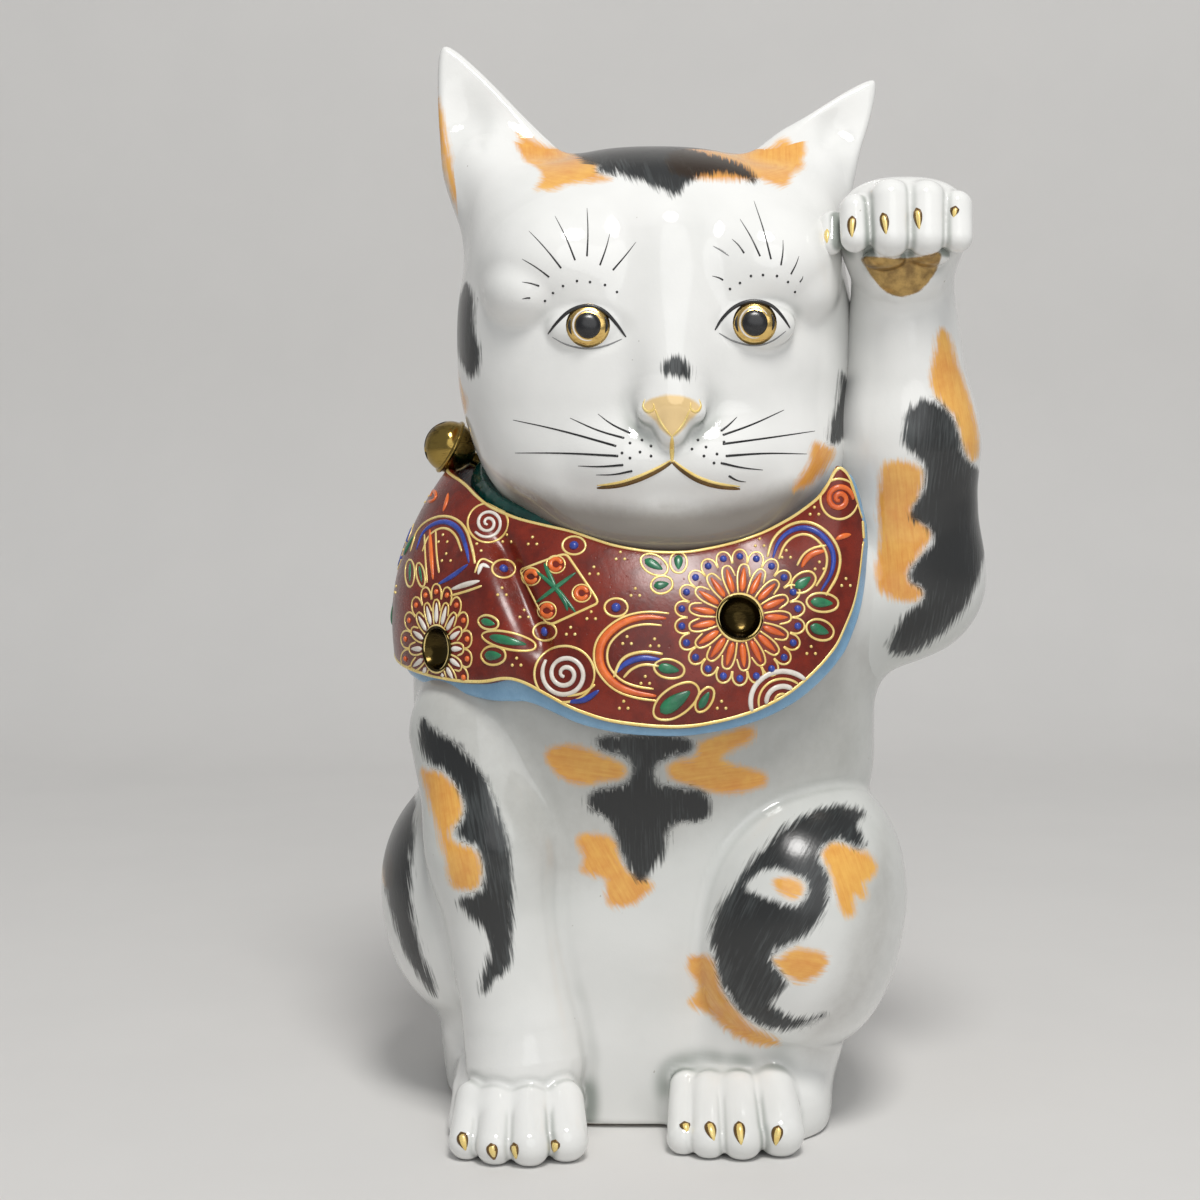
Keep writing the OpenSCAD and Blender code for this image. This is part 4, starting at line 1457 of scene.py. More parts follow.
@dataclass(frozen=True)
class Face:
    """The drawn face: eyes, lids, brows, whiskers and mouth, all as fine raised strokes."""

    left_eye: Point = (588, 325.5)
    right_eye: Point = (754.8, 323)
    iris_px: float = 22.0
    pupil_px: float = 13.2

    def eyes(self, brush: Brush) -> None:
        """Irises, pupils and lid lines."""
        lids = (
            ((548, 334), (557, 322), (570, 310), (588, 304.5), (604, 310), (616, 323), (626, 337)),
            ((715, 330), (722, 318), (736, 305), (754, 300), (772, 305), (783, 317), (790, 328)),
        )
        lower = (
            ((552, 337), (566, 345), (587, 349.5), (606, 346), (622, 339)),
            ((719, 333), (734, 342), (755, 346.5), (772, 342), (786, 331)),
        )
        for middle, upper, under in zip((self.left_eye, self.right_eye), lids, lower):
            brush.disc("lustre", middle, self.iris_px, 0.34)
            brush.disc("ink", middle, self.pupil_px, 0.85)
            for side in (0, 180):
                brush.stroke("ink", arc(middle, (18.6, 18.6), side - 30, side + 24), 0.5, Taper.BOTH, 1.3)
            brush.stroke("white", arc(middle, (14.8, 14.8), 70, 330, 24), 0.40, Taper.BOTH, 2.2)
            brush.stroke("ink", upper, 0.72, Taper.BOTH, 1.0)
            brush.stroke("grey", under, 0.36, Taper.BOTH, 0.8)

    def brows(self, brush: Brush) -> None:
        """Brow hairs and the dots beneath them."""
        hairs = (
            ((587, 208), (587, 256)), ((555, 216), (575, 260)), ((529, 231), (561, 268)),
            ((522, 259), (549, 277)), ((522, 282), (539, 286)), ((522, 299), (530, 298)),
            ((610, 233), (600, 265)), ((636, 242), (613, 270)), ((740, 219), (760, 256)),
            ((754, 201), (771, 259)), ((783, 240), (781, 265)), ((799, 256), (791, 274)),
            ((732, 239), (744, 253)), ((712, 276), (723, 280)), ((803, 276), (800, 282)),
        )
        for start, end in hairs:
            bow = np.mean((start, end), 0) + (1.2, -0.6)
            brush.stroke("ink", (start, bow, end), 0.30, Taper.START, 0.55)
        brush.stroke("grey", ((713, 246), (721, 250), (729, 256)), 0.28, Taper.BOTH)
        dots = ((545, 301), (553, 293), (563, 286), (577, 281), (590, 282), (605, 285), (617, 292),
                (730, 289), (740, 283), (751, 276), (763, 275), (777, 276), (788, 282), (795, 292))
        brush.beads("ink", dots, 0.46, 0.5)

    def muzzle(self, brush: Brush) -> None:
        """Whiskers, whisker dots, nose lines and mouth, with painted shade under the mouth."""
        for whisker in (
            ((513, 420), (560, 430), (616, 446)), ((570, 418), (598, 431), (624, 438)),
            ((598, 414), (612, 425), (630, 433)), ((515, 453), (565, 453), (618, 456)),
            ((578, 466), (600, 467), (623, 465)), ((596, 475), (614, 475), (632, 471)),
            ((737, 417), (729, 425), (721, 431)), ((784, 410), (752, 425), (723, 435)),
            ((815, 431), (768, 438), (723, 444)), ((807, 454), (766, 453), (726, 456)),
            ((763, 470), (742, 468), (721, 463)), ((746, 482), (737, 481), (729, 476)),
        ):
            brush.stroke("ink", whisker, 0.40, Taper.START, 0.55)
        dots = ((630, 443), (642, 440), (651, 446), (622, 453), (640, 452), (630, 458), (651, 456),
                (698, 440), (706, 447), (692, 449), (704, 456), (717, 454), (724, 442), (714, 463))
        brush.beads("ink", dots, 0.5, 0.5)
        for side in (((672, 461), (655, 471), (634, 480), (616, 485), (597, 487)),
                     ((672, 461), (686, 472), (700, 480), (718, 485.5), (740, 488))):
            # The wider umber line below each mouth line is painted shade.
            brush.stroke("umber_shade", np.array(side) + (0, 1.2), 1.05, Taper.BOTH, 0.4)
            brush.stroke("gold", np.array(side) - (0, 1.4), 0.55, Taper.BOTH, 0.75)
        brush.stroke("gold", ((672, 436), (672, 450), (672, 463)), 0.75, Taper.BOTH, 0.5)
        for nose_line in (((645, 399), (642, 407), (648, 413), (655, 409), (653, 403)),
                          ((699, 399), (702, 407), (696, 413), (690, 409), (691, 403)),
                          ((655, 409), (661, 424), (672, 437)), ((690, 409), (684, 424), (672, 437))):
            brush.stroke("gold", nose_line, 0.42, Taper.BOTH)

    def build(self, shell: Shell, finishes: Finishes) -> None:
        """Draws the face on the head's skin."""
        brush = Brush(Canvas(shell.tree()))
        self.eyes(brush)
        self.brows(brush)
        self.muzzle(brush)
        brush.build("face", finishes, Slot.PORCELAIN)


# The body and its limbs


@dataclass(frozen=True)
class Body:
    """Torso, limbs, feet and tail as one luted casting, with its calico patches."""

    slab_edge: float = 1.0
    body_voxel: float = 1.25
    limb_voxel: float = 1.0
    paw_voxel: float = 0.75
    right_toes: Outline = ((13.2, 5.4), (21.2, 6.2), (31.8, 7.0), (44.2, 7.8))
    left_toes: Outline = ((-56.2, 5.9), (-47.0, 6.4), (-36.2, 6.9), (-24.6, 7.2))
    fist_toes: Outline = ((67.0, 4.9), (78.0, 6.6), (89.2, 6.2), (99.2, 5.0))
    tail_route: Outline = ((0, 68.6, 13), (18, 70.4, 13), (36, 67, 15), (51, 59, 21), (61, 48, 32),
                           (63, 41, 46), (57, 41, 57))

    def torso(self) -> Form:
        """Trunk with both haunches."""
        rings = (
            (self.slab_edge, -67.5, 67.5, -46.5, 72.5), (10, -69, 69, -48, 74), (40, -72, 72, -52, 75),
            (64, -77, 77, -56, 76), (100, -76, 79, -57, 72), (115, -77, 81.5, -58, 68),
            (132, -78, 81, -60, 65), (150, -78, 81, -62, 61), (165, -74, 77, -60, 58),
            (180, -66, 70, -55, 54), (195, -56, 62, -49, 50), (215, -48, 56, -43, 45),
        )
        return Sculpt(Trunk(rings), [
            Step(Egg((46, -30, 176), (29, 25, 30)), 12),
            Step(Egg((-46.5, 8, 68), (43.6, 56, 46), 2.2, -7), 5),
            Step(Egg((40, -14, 36), (30, 42, 36), 2.6), 4),
            Step(Egg((50.5, -20, 69), (38.5, 53, 48), 2.3, 9), 2.6),
        ], self.slab_edge)

    def foreleg(self) -> Form:
        """The standing foreleg from shoulder to ankle."""
        return Sculpt(Limb((-52, -27, 130), 25.5, (-48.5, -43, 95), 20.8),
                      [Step(Limb((-48.5, -43, 95), 20.8, (-39.5, -46, 34), 18.2), 10),
                       Step(Limb((-39.5, -46, 34), 18.2, (-38.5, -48, 24), 19.6), 5)], 3)

    def ground_foot(self, base: Form, toes: Outline, front: float, knuckle: Point,
                    lead: Sequence[float]) -> Form:
        """A foot on the ground.

        Args:
            base: The foot's mass.
            toes: Places across and radii of the toes.
            front: How far forward the toes reach.
            knuckle: How far behind the front, and how high, the knuckles are.
            lead: How far each toe stands back from the front.

        Returns:
            The foot, flat on the ground.
        """
        steps = []
        middle = sum(x for x, _ in toes) / len(toes)
        for (x, radius), back in zip(toes, lead):
            tip = (x, front + radius + back, radius * 0.92)
            root = (middle + 0.9 * (x - middle), front + knuckle[0] + back, knuckle[1])
            steps.append(Step(Limb(tip, radius, root, radius), 1.5))
        return Sculpt(base, steps, 0.25)

    def standing_paw(self) -> Form:
        """The paw of the standing foreleg."""
        base = Egg((-40, -55, 8), (21.5, 21, 14), 2.6)
        return self.ground_foot(base, self.left_toes, -87.5, (20, 15), (7, 1.8, 0, 4))

    def right_hind_foot(self) -> Form:
        """The hind foot on the right, with its toes turned out of the haunch."""
        base = Sculpt(Egg((32, -42, 7), (22, 26, 17), 2.8), [Step(Egg((47, -28, 9), (17.5, 32, 16), 2.6), 6)])
        return self.ground_foot(base, self.right_toes, -81.5, (22, 16.6), (6, 1.8, 0, 2.5))

    def left_hind_foot(self) -> Form:
        """The hind foot on the left, half hidden behind the standing paw."""
        toes = ((-58.5, 5.0), (-51.0, 5.6), (-43.0, 5.6))
        base = Egg((-50.5, -26, 8), (13, 31, 16), 2.5)
        return self.ground_foot(base, toes, -62, (18, 12), (3, 0, 0))

    def raised_arm(self) -> Form:
        """Upper arm and forearm of the raised limb."""
        return Sculpt(Limb((58, -4, 167), 29.5, (88.6, -10, 181), 26.6), [
            Step(Limb((88.6, -10, 181), 26.6, (88.2, -19, 228), 23.2), 8),
            Step(Limb((88.2, -19, 228), 23.2, (85.6, -27, 276), 16.8), 8),
        ])

    def raised_paw(self) -> Form:
        """The bent paw: palm, pads and curled toes."""
        steps = [Step(Egg((84, -36, 290), (19, 15, 16)), 5)]
        for (x, radius), top in zip(self.fist_toes, (302.5, 305.5, 305.5, 303.5)):
            knuckle = (x, -49 - radius * 0.5, top - 1)
            toe = Limb(knuckle, radius, (x * 0.998, -52.5 - radius * 0.6, 292.5), radius * 0.95)
            steps.append(Step(toe, 1.8))
        steps += [
            Step(Limb((60.5, -43, 297.5), 4.0, (60, -47.5, 291), 3.6), 1.8),
            Step(Egg((84, -42.5, 280.5), (12, 8, 7)), 4.5),
            Step(Egg((76.5, -51, 286), (6.8, 5.6, 3.4)), 1.4),
            Step(Egg((90.5, -50.5, 287), (7.0, 5.6, 3.3)), 1.4),
        ]
        return Sculpt(Egg((84, -40, 298.5), (20.5, 16, 14), 2.5), steps)

    def tail(self) -> Form:
        """The tail, curled round the right of the rump."""
        route = self.tail_route
        radii = [10 * (1 - 0.05 * i) for i in range(len(route))]
        links = [Limb(route[i], radii[i], route[i + 1], radii[i + 1]) for i in range(len(route) - 1)]
        return Sculpt(links[0], [Step(link, 4) for link in links[1:]], 0.25)

    def casting(self) -> Casting:
        """The body with its limbs luted on."""
        return Casting({
            "body": Member(self.torso(), 0),
            "standing_foreleg": Member(self.foreleg(), 4.5),
            "standing_paw": Member(self.standing_paw(), 2.2),
            "left_hind_foot": Member(self.left_hind_foot(), 3),
            "right_hind_foot": Member(self.right_hind_foot(), 4),
            "raised_arm": Member(self.raised_arm(), 9),
            "raised_paw": Member(self.raised_paw(), 6),
            "tail": Member(self.tail(), 4),
        })

    def patches(self) -> list[Patch]:
        """The calico patches of chest, foreleg and haunches, and painted shade under the bib and along the
        right thigh.
        """
        ink, rust, sketch = Pigment.INK, Pigment.RUST, BODY_SKETCH
        chest = ((615, 105), (760, 92), (905, 105), (918, 150), (850, 165), (800, 185), (800, 240),
                 (840, 250), (940, 255), (968, 300), (957, 352), (850, 357), (835, 400), (830, 450),
                 (790, 500), (755, 545), (730, 510), (700, 450), (680, 390), (660, 340), (603, 320),
                 (603, 268), (640, 255), (720, 240), (735, 200), (715, 165), (640, 150))
        chest_shade = ((425, 690), (520, 705), (640, 725), (760, 705), (850, 640), (885, 680), (866, 760),
                       (800, 780), (720, 800), (640, 850), (560, 880), (520, 830), (480, 770), (440, 740))
        thigh_shade = ((900, 820), (912, 900), (900, 980), (866, 1036), (800, 1056), (838, 1000), (862, 930),
                       (880, 860))
        chest_left = ((472, 150), (520, 124), (590, 130), (640, 155), (700, 175), (722, 210), (700, 236),
                      (640, 240), (600, 252), (550, 246), (508, 215), (484, 180))
        chest_right = ((830, 190), (870, 170), (915, 165), (925, 115), (1000, 95), (1060, 70), (1100, 84),
                       (1082, 125), (1020, 150), (985, 175), (1050, 190), (1118, 203), (1134, 240),
                       (1090, 266), (1000, 276), (940, 266), (880, 245), (835, 230))
        chest_low = ((562, 395), (610, 383), (660, 390), (690, 410), (695, 450), (720, 500), (770, 510),
                     (803, 540), (770, 577), (740, 592), (700, 608), (660, 597), (650, 560), (660, 520),
                     (620, 515), (573, 502), (590, 460), (573, 430))
        foreleg = ((120, 42), (150, 80), (200, 110), (240, 140), (285, 190), (320, 250), (352, 340),
                   (377, 420), (387, 500), (390, 620), (387, 740), (366, 802), (332, 812), (300, 864),
                   (288, 830), (310, 760), (320, 700), (290, 660), (250, 622), (223, 590), (235, 570),
                   (290, 560), (302, 510), (296, 460), (280, 420), (235, 410), (213, 380), (245, 330),
                   (240, 290), (215, 240), (190, 205), (150, 195), (122, 160), (108, 110))
        foreleg_orange = ((106, 192), (150, 200), (190, 215), (230, 260), (247, 310), (235, 350), (205, 380),
                          (210, 410), (280, 430), (297, 470), (300, 520), (285, 552), (230, 557), (203, 540),
                          (186, 460), (164, 380), (140, 300))
        left_haunch = ((102, 208), (75, 232), (38, 290), (8, 370), (2, 440), (14, 560), (46, 680), (98, 795),
                       (160, 874), (168, 850), (140, 780), (110, 690), (95, 600), (90, 500), (100, 400),
                       (105, 300))
        thigh = ((1424, 332), (1380, 308), (1310, 303), (1230, 333), (1160, 378), (1110, 428), (1060, 488),
                 (1010, 558), (968, 620), (952, 690), (972, 760), (988, 830), (1028, 892), (1090, 943),
                 (1160, 964), (1230, 952), (1312, 903), (1250, 922), (1180, 916), (1132, 888), (1170, 850),
                 (1187, 820), (1150, 780), (1130, 740), (1180, 715), (1250, 680), (1292, 620), (1307, 560),
                 (1302, 500), (1270, 460), (1290, 420), (1340, 400), (1395, 444), (1414, 400), (1385, 360))
        thigh_hole = ((1055, 545), (1100, 498), (1150, 488), (1200, 503), (1250, 528), (1235, 582),
                      (1200, 602), (1150, 582), (1100, 566))
        thigh_spot = ((1133, 520), (1180, 510), (1238, 530), (1227, 577), (1190, 582), (1150, 555))
        thigh_right = ((1273, 445), (1310, 408), (1345, 413), (1380, 433), (1420, 438), (1450, 480),
                       (1437, 522), (1400, 530), (1422, 572), (1400, 584), (1375, 562), (1387, 622),
                       (1355, 638), (1328, 600), (1318, 540), (1298, 490))
        thigh_mid = ((1128, 755), (1170, 740), (1200, 716), (1250, 720), (1302, 733), (1304, 770),
                     (1280, 802), (1230, 828), (1190, 817), (1160, 780))
        thigh_low = ((886, 745), (930, 732), (970, 745), (985, 800), (1000, 850), (1040, 905), (1090, 950),
                     (1150, 980), (1168, 1002), (1100, 1008), (1040, 988), (990, 952), (960, 912),
                     (908, 902), (888, 870), (930, 840), (898, 800))
        haunch_orange = ((0, 420), (26, 428), (40, 480), (36, 545), (16, 552), (0, 500))
        return [
            # Painted shade under the bib and along the lower edge of the right thigh.
            Patch(Pigment.SMOKE, chest_shade, soft=4, cap=0.2),
            Patch(Pigment.SMOKE, thigh_shade, soft=3, cap=0.4),
            Patch(ink, chest, sketch, 88),
            Patch(rust, chest_left, sketch, 8),
            Patch(rust, chest_right, sketch, 172),
            Patch(rust, chest_low, sketch, 60),
            Patch(ink, foreleg, sketch, 80, True, behind=-8),
            Patch(rust, foreleg_orange, sketch, 80, True, behind=-8),
            Patch(ink, left_haunch, sketch, 82, True),
            Patch(rust, haunch_orange, sketch, 85, True),
            Patch(ink, thigh, sketch, 118, hole=thigh_hole),
            Patch(rust, thigh_spot, sketch, 20),
            Patch(rust, thigh_right, sketch, 70),
            Patch(rust, thigh_mid, sketch, 10),
            Patch(rust, thigh_low, sketch, 60),
            Patch(ink, splash((0, 112), (38, 44), 5, 0.4), facing=Facing.BACK),
            Patch(rust, splash((50, 108), (19, 25), 4, 2.0), facing=Facing.BACK),
            Patch(rust, splash((-50, 84), (18, 28), 5, 1.1), facing=Facing.BACK),
            Patch(rust, splash((10, 48), (24, 18), 4, 0.2), facing=Facing.BACK),
            Patch(ink, splash((38, 72), (19, 34), 5, 1.7), facing=Facing.RIGHT),
            Patch(rust, splash((-2, 68), (17, 22), 4, 0.9), facing=Facing.RIGHT),
            Patch(rust, splash((36, 72), (17, 24), 4, 2.4), facing=Facing.LEFT),
        ]

    def arm_patches(self) -> list[Patch]:
        """The patches of the raised arm."""
        ink, rust, sketch = Pigment.INK, Pigment.RUST, ARM_SKETCH
        black = ((343, 760), (400, 733), (450, 748), (490, 790), (505, 850), (520, 910), (560, 940),
                 (580, 1000), (584, 1100), (578, 1200), (556, 1290), (514, 1375), (440, 1446), (370, 1494),
                 (310, 1500), (277, 1472), (310, 1420), (350, 1360), (390, 1340), (400, 1300), (353, 1286),
                 (343, 1250), (400, 1190), (427, 1150), (400, 1110), (353, 1097), (348, 1070), (390, 1020),
                 (400, 960), (390, 920), (343, 890), (333, 830))
        edge = ((440, 517), (472, 535), (495, 620), (526, 700), (556, 800), (566, 900), (540, 934),
                (515, 900), (500, 840), (480, 790), (430, 730), (408, 690), (424, 600))
        inner = ((263, 930), (320, 912), (380, 925), (402, 960), (390, 1020), (360, 1070), (400, 1105),
                 (427, 1130), (410, 1170), (360, 1230), (345, 1270), (402, 1300), (390, 1333), (340, 1343),
                 (280, 1323), (253, 1290), (248, 1220), (268, 1160), (258, 1100), (253, 1050), (263, 1000))
        elbow = ((72, 250), (92, 246), (98, 216), (84, 204), (70, 222))
        return [
            Patch(ink, black, sketch, 97, True, behind=14),
            Patch(rust, edge, sketch, 80, True),
            Patch(rust, inner, sketch, 85),
            Patch(rust, elbow, facing=Facing.BACK),
        ]

    def paw_patches(self) -> list[Patch]:
        """The gilded pads of the raised paw."""
        pads = ((205, 318), (250, 312), (330, 322), (400, 312), (452, 296), (440, 350), (400, 410),
                (345, 438), (290, 430), (250, 390), (222, 345))
        return [Patch(Pigment.GILT, pads, ARM_SKETCH)]

    def tail_patches(self) -> list[Patch]:
        """The dark tip of the tail and an orange ring."""
        return [
            Patch(Pigment.INK, ((40, 34), (80, 30), (80, 80), (40, 80)), facing=Facing.BACK, wrap=True),
            Patch(Pigment.RUST, ((30, 0), (50, 0), (48, 34), (28, 30)), facing=Facing.BACK, wrap=True),
        ]

    def claws(self, shells: dict[str, Shell], finishes: Finishes) -> None:
        """Gilded claws, each from its root to its tip, in a drop of painted shade."""
        ground = {
            "standing_paw": ((226, 1210, 238, 1258), (310, 1242, 322, 1300), (374, 1240, 380, 1296),
                             (492, 1232, 480, 1288)),
            "right_hind_foot": ((852, 1180, 858, 1206), (920, 1180, 934, 1230), (1004, 1180, 1010, 1242),
                                (1116, 1192, 1106, 1244)),
        }
        for name, marks in ground.items():
            brush = Brush(Canvas(shells[name].tree(), -0.5))
            for mark in marks:
                root, tip = PAW_SKETCH.px([mark[:2], mark[2:]])
                line = np.array([root, (root + tip) / 2, tip])
                # The wide umber drop is painted shade of the claw's recess; the gold inside it is the claw.
                brush.stroke("umber_shade", line, 1.9, Taper.DROP, 0.3)
                brush.stroke("gold", line + (0.6, 1.0), 1.35, Taper.DROP, 0.55)
            brush.build(f"{name}_claws", finishes, Slot.GOLD)
        brush = Brush(Canvas(shells["raised_paw"].tree()))
        for x, top, bend, long in ((851.6, 216, 0.5, 20), (884.8, 213, -2.5, 20), (918.2, 208, -2, 20),
                                   (953.5, 206, 2, 10)):
            line = np.array([(x + bend, top), (x, top + 9), (x - bend * 0.3, top + long)])
            # The wide umber drop is painted shade of the claw's recess; the gold inside it is the claw.
            brush.stroke("umber_shade", line, 1.5, Taper.DROP, 0.3)
            brush.stroke("gold", line + (0.5, 1.0), 0.95, Taper.DROP, 0.6)
        brush.stroke("gold", ((827, 229), (826.5, 235), (827, 243)), 0.9, Taper.DROP, 0.45)
        brush.build("raised_paw_claws", finishes, Slot.GOLD)

    def build(self, finishes: Finishes) -> None:
        """Makes body, limbs and claws."""
        casting = self.casting()
        calico = self.patches()
        glaze(casting, "body", "body_shell", self.body_voxel, calico, finishes)
        shells = {}
        for name, voxel, patches in (
            ("standing_foreleg", self.limb_voxel, calico), ("standing_paw", self.paw_voxel, ()),
            ("left_hind_foot", self.paw_voxel, ()), ("right_hind_foot", self.paw_voxel, ()),
            ("raised_arm", self.limb_voxel, self.arm_patches()),
            ("raised_paw", self.paw_voxel, self.paw_patches()),
            ("tail", self.limb_voxel, self.tail_patches()),
        ):
            shells[name] = glaze(casting, name, name, voxel, patches, finishes)
        self.claws(shells, finishes)


@dataclass(frozen=True)
class FootSlab:
    """The unglazed slab that closes the foot, with its kiln vent."""

    middle: Point = (0, 13)
    size: Point = (131, 113)
    corner: float = 44
    thick: float = 7.0
    vent_back: float = 24
    vent_r: float = 7.0

    def build(self, finishes: Finishes) -> None:
        """Makes the slab."""
        x, y = self.middle
        vent = (x, y + self.vent_back)
        plate = Plate(self.middle, self.size, self.corner, self.thick, vent, self.vent_r)
        mesh = skin(plate, 1.0).mesh("bare_foot_slab")
        set_down("bare_foot_slab", mesh, finishes.clay, Slot.BARE_FOOT, ["foot_slab"])


# The bib, its lining and the collar


@dataclass(frozen=True)
class Bib:
    """The draped bib: an angle, 0 in front and growing to the right, and a height give a place on it."""

    middle: Point = (5, 5)
    side: float = 91
    front: float = 79
    taper: float = 18
    chin: float = 194
    drop: float = 54
    shoulder: float = 165
    chest: float = 146
    right_flat: float = 12
    right_bow: float = 0.55
    right_rise: float = 0.85
    tuck: float = 3
    first: float = -160
    last: float = 58.5
    thick: float = 4.2
    columns: int = 330
    rows: int = 56
    neck_edge: Outline = (
        (-160, 26), (-110, 24), (-90, 22), (-75, 21), (-60, 18.5), (-45, 11.5), (-35, 8), (-20, 4.5),
        (-8, -0.5), (2, -2.2), (12, -1), (25, 2.5), (33, 6.5), (41, 12), (45, 16), (48, 21), (50, 25),
        (52, 24.5), (54.5, 21), (57, 13), (58.5, 7))
    hem_share: Outline = (
        (-160, -0.2), (-130, 0.26), (-105, 0.63), (-90, 0.74), (-57, 0.78), (-45, 0.785), (-38, 0.77),
        (-33, 0.735), (-29, 0.745), (-24, 0.81), (-18, 0.895), (-10, 0.965), (4, 1), (17, 0.955), (28, 0.87),
        (37, 0.74), (46, 0.555), (53, 0.315), (56, 0.14), (57.5, 0), (58.5, -0.08))
    softness: Outline = ((-60, 5), (-45, 2), (-15, 2), (-5, 5), (40, 5), (46, 1.2))
    lining_swing: float = 9.0
    lining_tuck: Outline = ((30, 13), (45, 6), (52, 2))
    lining_fall: Outline = ((-160, 3.8), (-60, 4.5), (-45, 5), (-33, 7.5), (-24, 6), (-12, 4), (0, 3.2))

    def smooth(self, knots: Outline, angles: Cloud) -> Cloud:
        """Knots by angle, with their corners smoothed."""
        knots, reach = np.array(knots, float), np.interp(angles, *np.transpose(self.softness))
        return sum(np.interp(angles + share * reach, *knots.T) for share in (-1, -0.5, 0, 0.5, 1)) / 5

    def top(self, angles: Cloud) -> Cloud:
        """Heights of the neck edge."""
        return self.chin + self.smooth(self.neck_edge, angles)

    def hem(self, angles: Cloud) -> Cloud:
        """Heights of the hem."""
        return self.chin - self.drop * self.smooth(self.hem_share, angles)

    def point(self, angles: Cloud, heights: Cloud, inset: float = 0.0) -> Cloud:
        """Places on the bib.

        Args:
            angles: Degrees from the front.
            heights: Millimetres above the ground.
            inset: Distance inside the outer face.

        Returns:
            Rows of points, in the shape of angles.
        """
        up = np.maximum(0, heights - self.shoulder) / (self.chin - self.shoulder + 21)
        down = np.maximum(0, self.shoulder - heights) / (self.shoulder - self.chin + self.drop)
        rise = np.maximum(0, heights - self.chest) / (self.chin - self.chest)
        flat = self.right_flat * np.clip(angles / 12, 0, 1)
        swing = np.clip((angles - 20) / 35, 0, 1)
        taper = self.taper * (1 - self.right_rise * swing * swing * (3 - 2 * swing))
        wide = self.side - flat - taper * up**2 - self.tuck * down**2 - inset
        deep = self.front - taper * rise**2 - inset
        turn = np.radians(angles)
        fall = np.where(angles > 0, np.abs(np.cos(turn)) ** self.right_bow, np.cos(turn))
        return np.stack([self.middle[0] + wide * np.sin(turn), self.middle[1] - deep * fall, heights], -1)

    def fold(self, points: Cloud) -> Cloud:
        """How deep the drapery's folds are at points on the bib."""
        pixels = EYE.project(points.reshape(-1, 3)).reshape(*points.shape[:-1], 2)
        start, end = np.array((502, 545)), np.array((543, 650))
        run = (end - start) / np.linalg.norm(end - start)
        rel = pixels - start
        along = rel @ run / np.linalg.norm(end - start)
        across = rel @ np.array((-run[1], run[0]))
        front = points[..., 1] < 0
        reach = np.exp(-(np.maximum(np.abs(along - 0.45) - 0.42, 0) / 0.22) ** 2)
        valley = np.exp(-(across / 12) ** 2) * reach * front
        ridge = np.exp(-((across - 33) / 17) ** 2) * reach * front
        turn = np.degrees(np.arctan2(points[..., 0] - self.middle[0], self.middle[1] - points[..., 1]))
        wave = np.cos(np.radians((turn + 20) * 6)) * np.clip((-turn - 70) / 40, 0, 1)
        return 4.4 * valley - 2.0 * ridge + 1.3 * wave

    def outward(self, places: Cloud) -> Pair:
        """Normals of a grid of places, and its upward directions."""
        up = np.gradient(places, axis=1)
        return unit(np.cross(np.gradient(places, axis=0), up)), unit(up)

    def sheet(self, first: float, drop: Outline, tuck: Outline, inset: float, thick: float,
              swing: float = 0.0, dishes: Sequence[tuple[Cloud, float]] = (), sink: float = 5.6) -> Shell:
        """A closed, round-edged sheet that lies round the shoulders.

        Args:
            first: Its first angle.
            drop: How far its hem hangs below the bib's, by angle.
            tuck: How far its top ends below the bib's neck edge, by angle.
            inset: How far inside the bib it lies.
            thick: Its thickness.
            swing: How far its right edge lies past the bib's, in degrees.
            dishes: Middles and radii of round recesses.
            sink: Depth of those recesses.

        Returns:
            The sheet.
        """
        angles = np.linspace(first, self.last, self.columns)
        low = self.hem(angles) - np.interp(angles, *np.transpose(drop))
        high = np.maximum(self.top(angles) - np.interp(angles, *np.transpose(tuck)), low + 5)
        heights = low[:, None] + (high - low)[:, None] * np.linspace(0, 1, self.rows)
        angles = angles + swing * np.maximum(angles, 0) / self.last
        places = self.point(np.repeat(angles[:, None], self.rows, 1), heights, inset)
        normals = self.outward(places)[0]
        places = places - self.fold(places)[..., None] * normals
        for middle, radius in dishes:
            sunk = np.clip((radius - np.linalg.norm(places - middle, axis=-1)) / 1.6, 0, 1)
            places = places - (sink * sunk * sunk * (3 - 2 * sunk))[..., None] * normals
        normals, way = self.outward(places)
        half = thick / 2
        core = places - half * normals
        turn = np.radians((30, 60, 90, 120, 150))[:, None]
        lips = []
        for row, sign in ((-1, 1), (0, -1)):
            bend = np.cos(turn) * normals[:, row, None] + sign * np.sin(turn) * way[:, row, None]
            lips.append(core[:, row, None] + half * bend)
        back = (core - half * normals)[:, ::-1]
        rings = np.concatenate([core + half * normals, lips[0], back, lips[1][:, ::-1]], axis=1)
        return lump(rings, rings[0].mean(0), rings[-1].mean(0))


@dataclass(frozen=True)
class Around:
    """Places round a flower's middle, squeezed across."""

    middle: Point
    squeeze: float

    def at(self, reach: Sequence[float], degrees: Cloud | float) -> Cloud:
        """Places at those distances and angles."""
        turn = np.radians(degrees) + np.zeros(len(reach))
        ways = np.stack([self.squeeze * np.cos(turn), np.sin(turn)], 1)
        return np.array(self.middle) + ways * np.array(reach)[:, None]


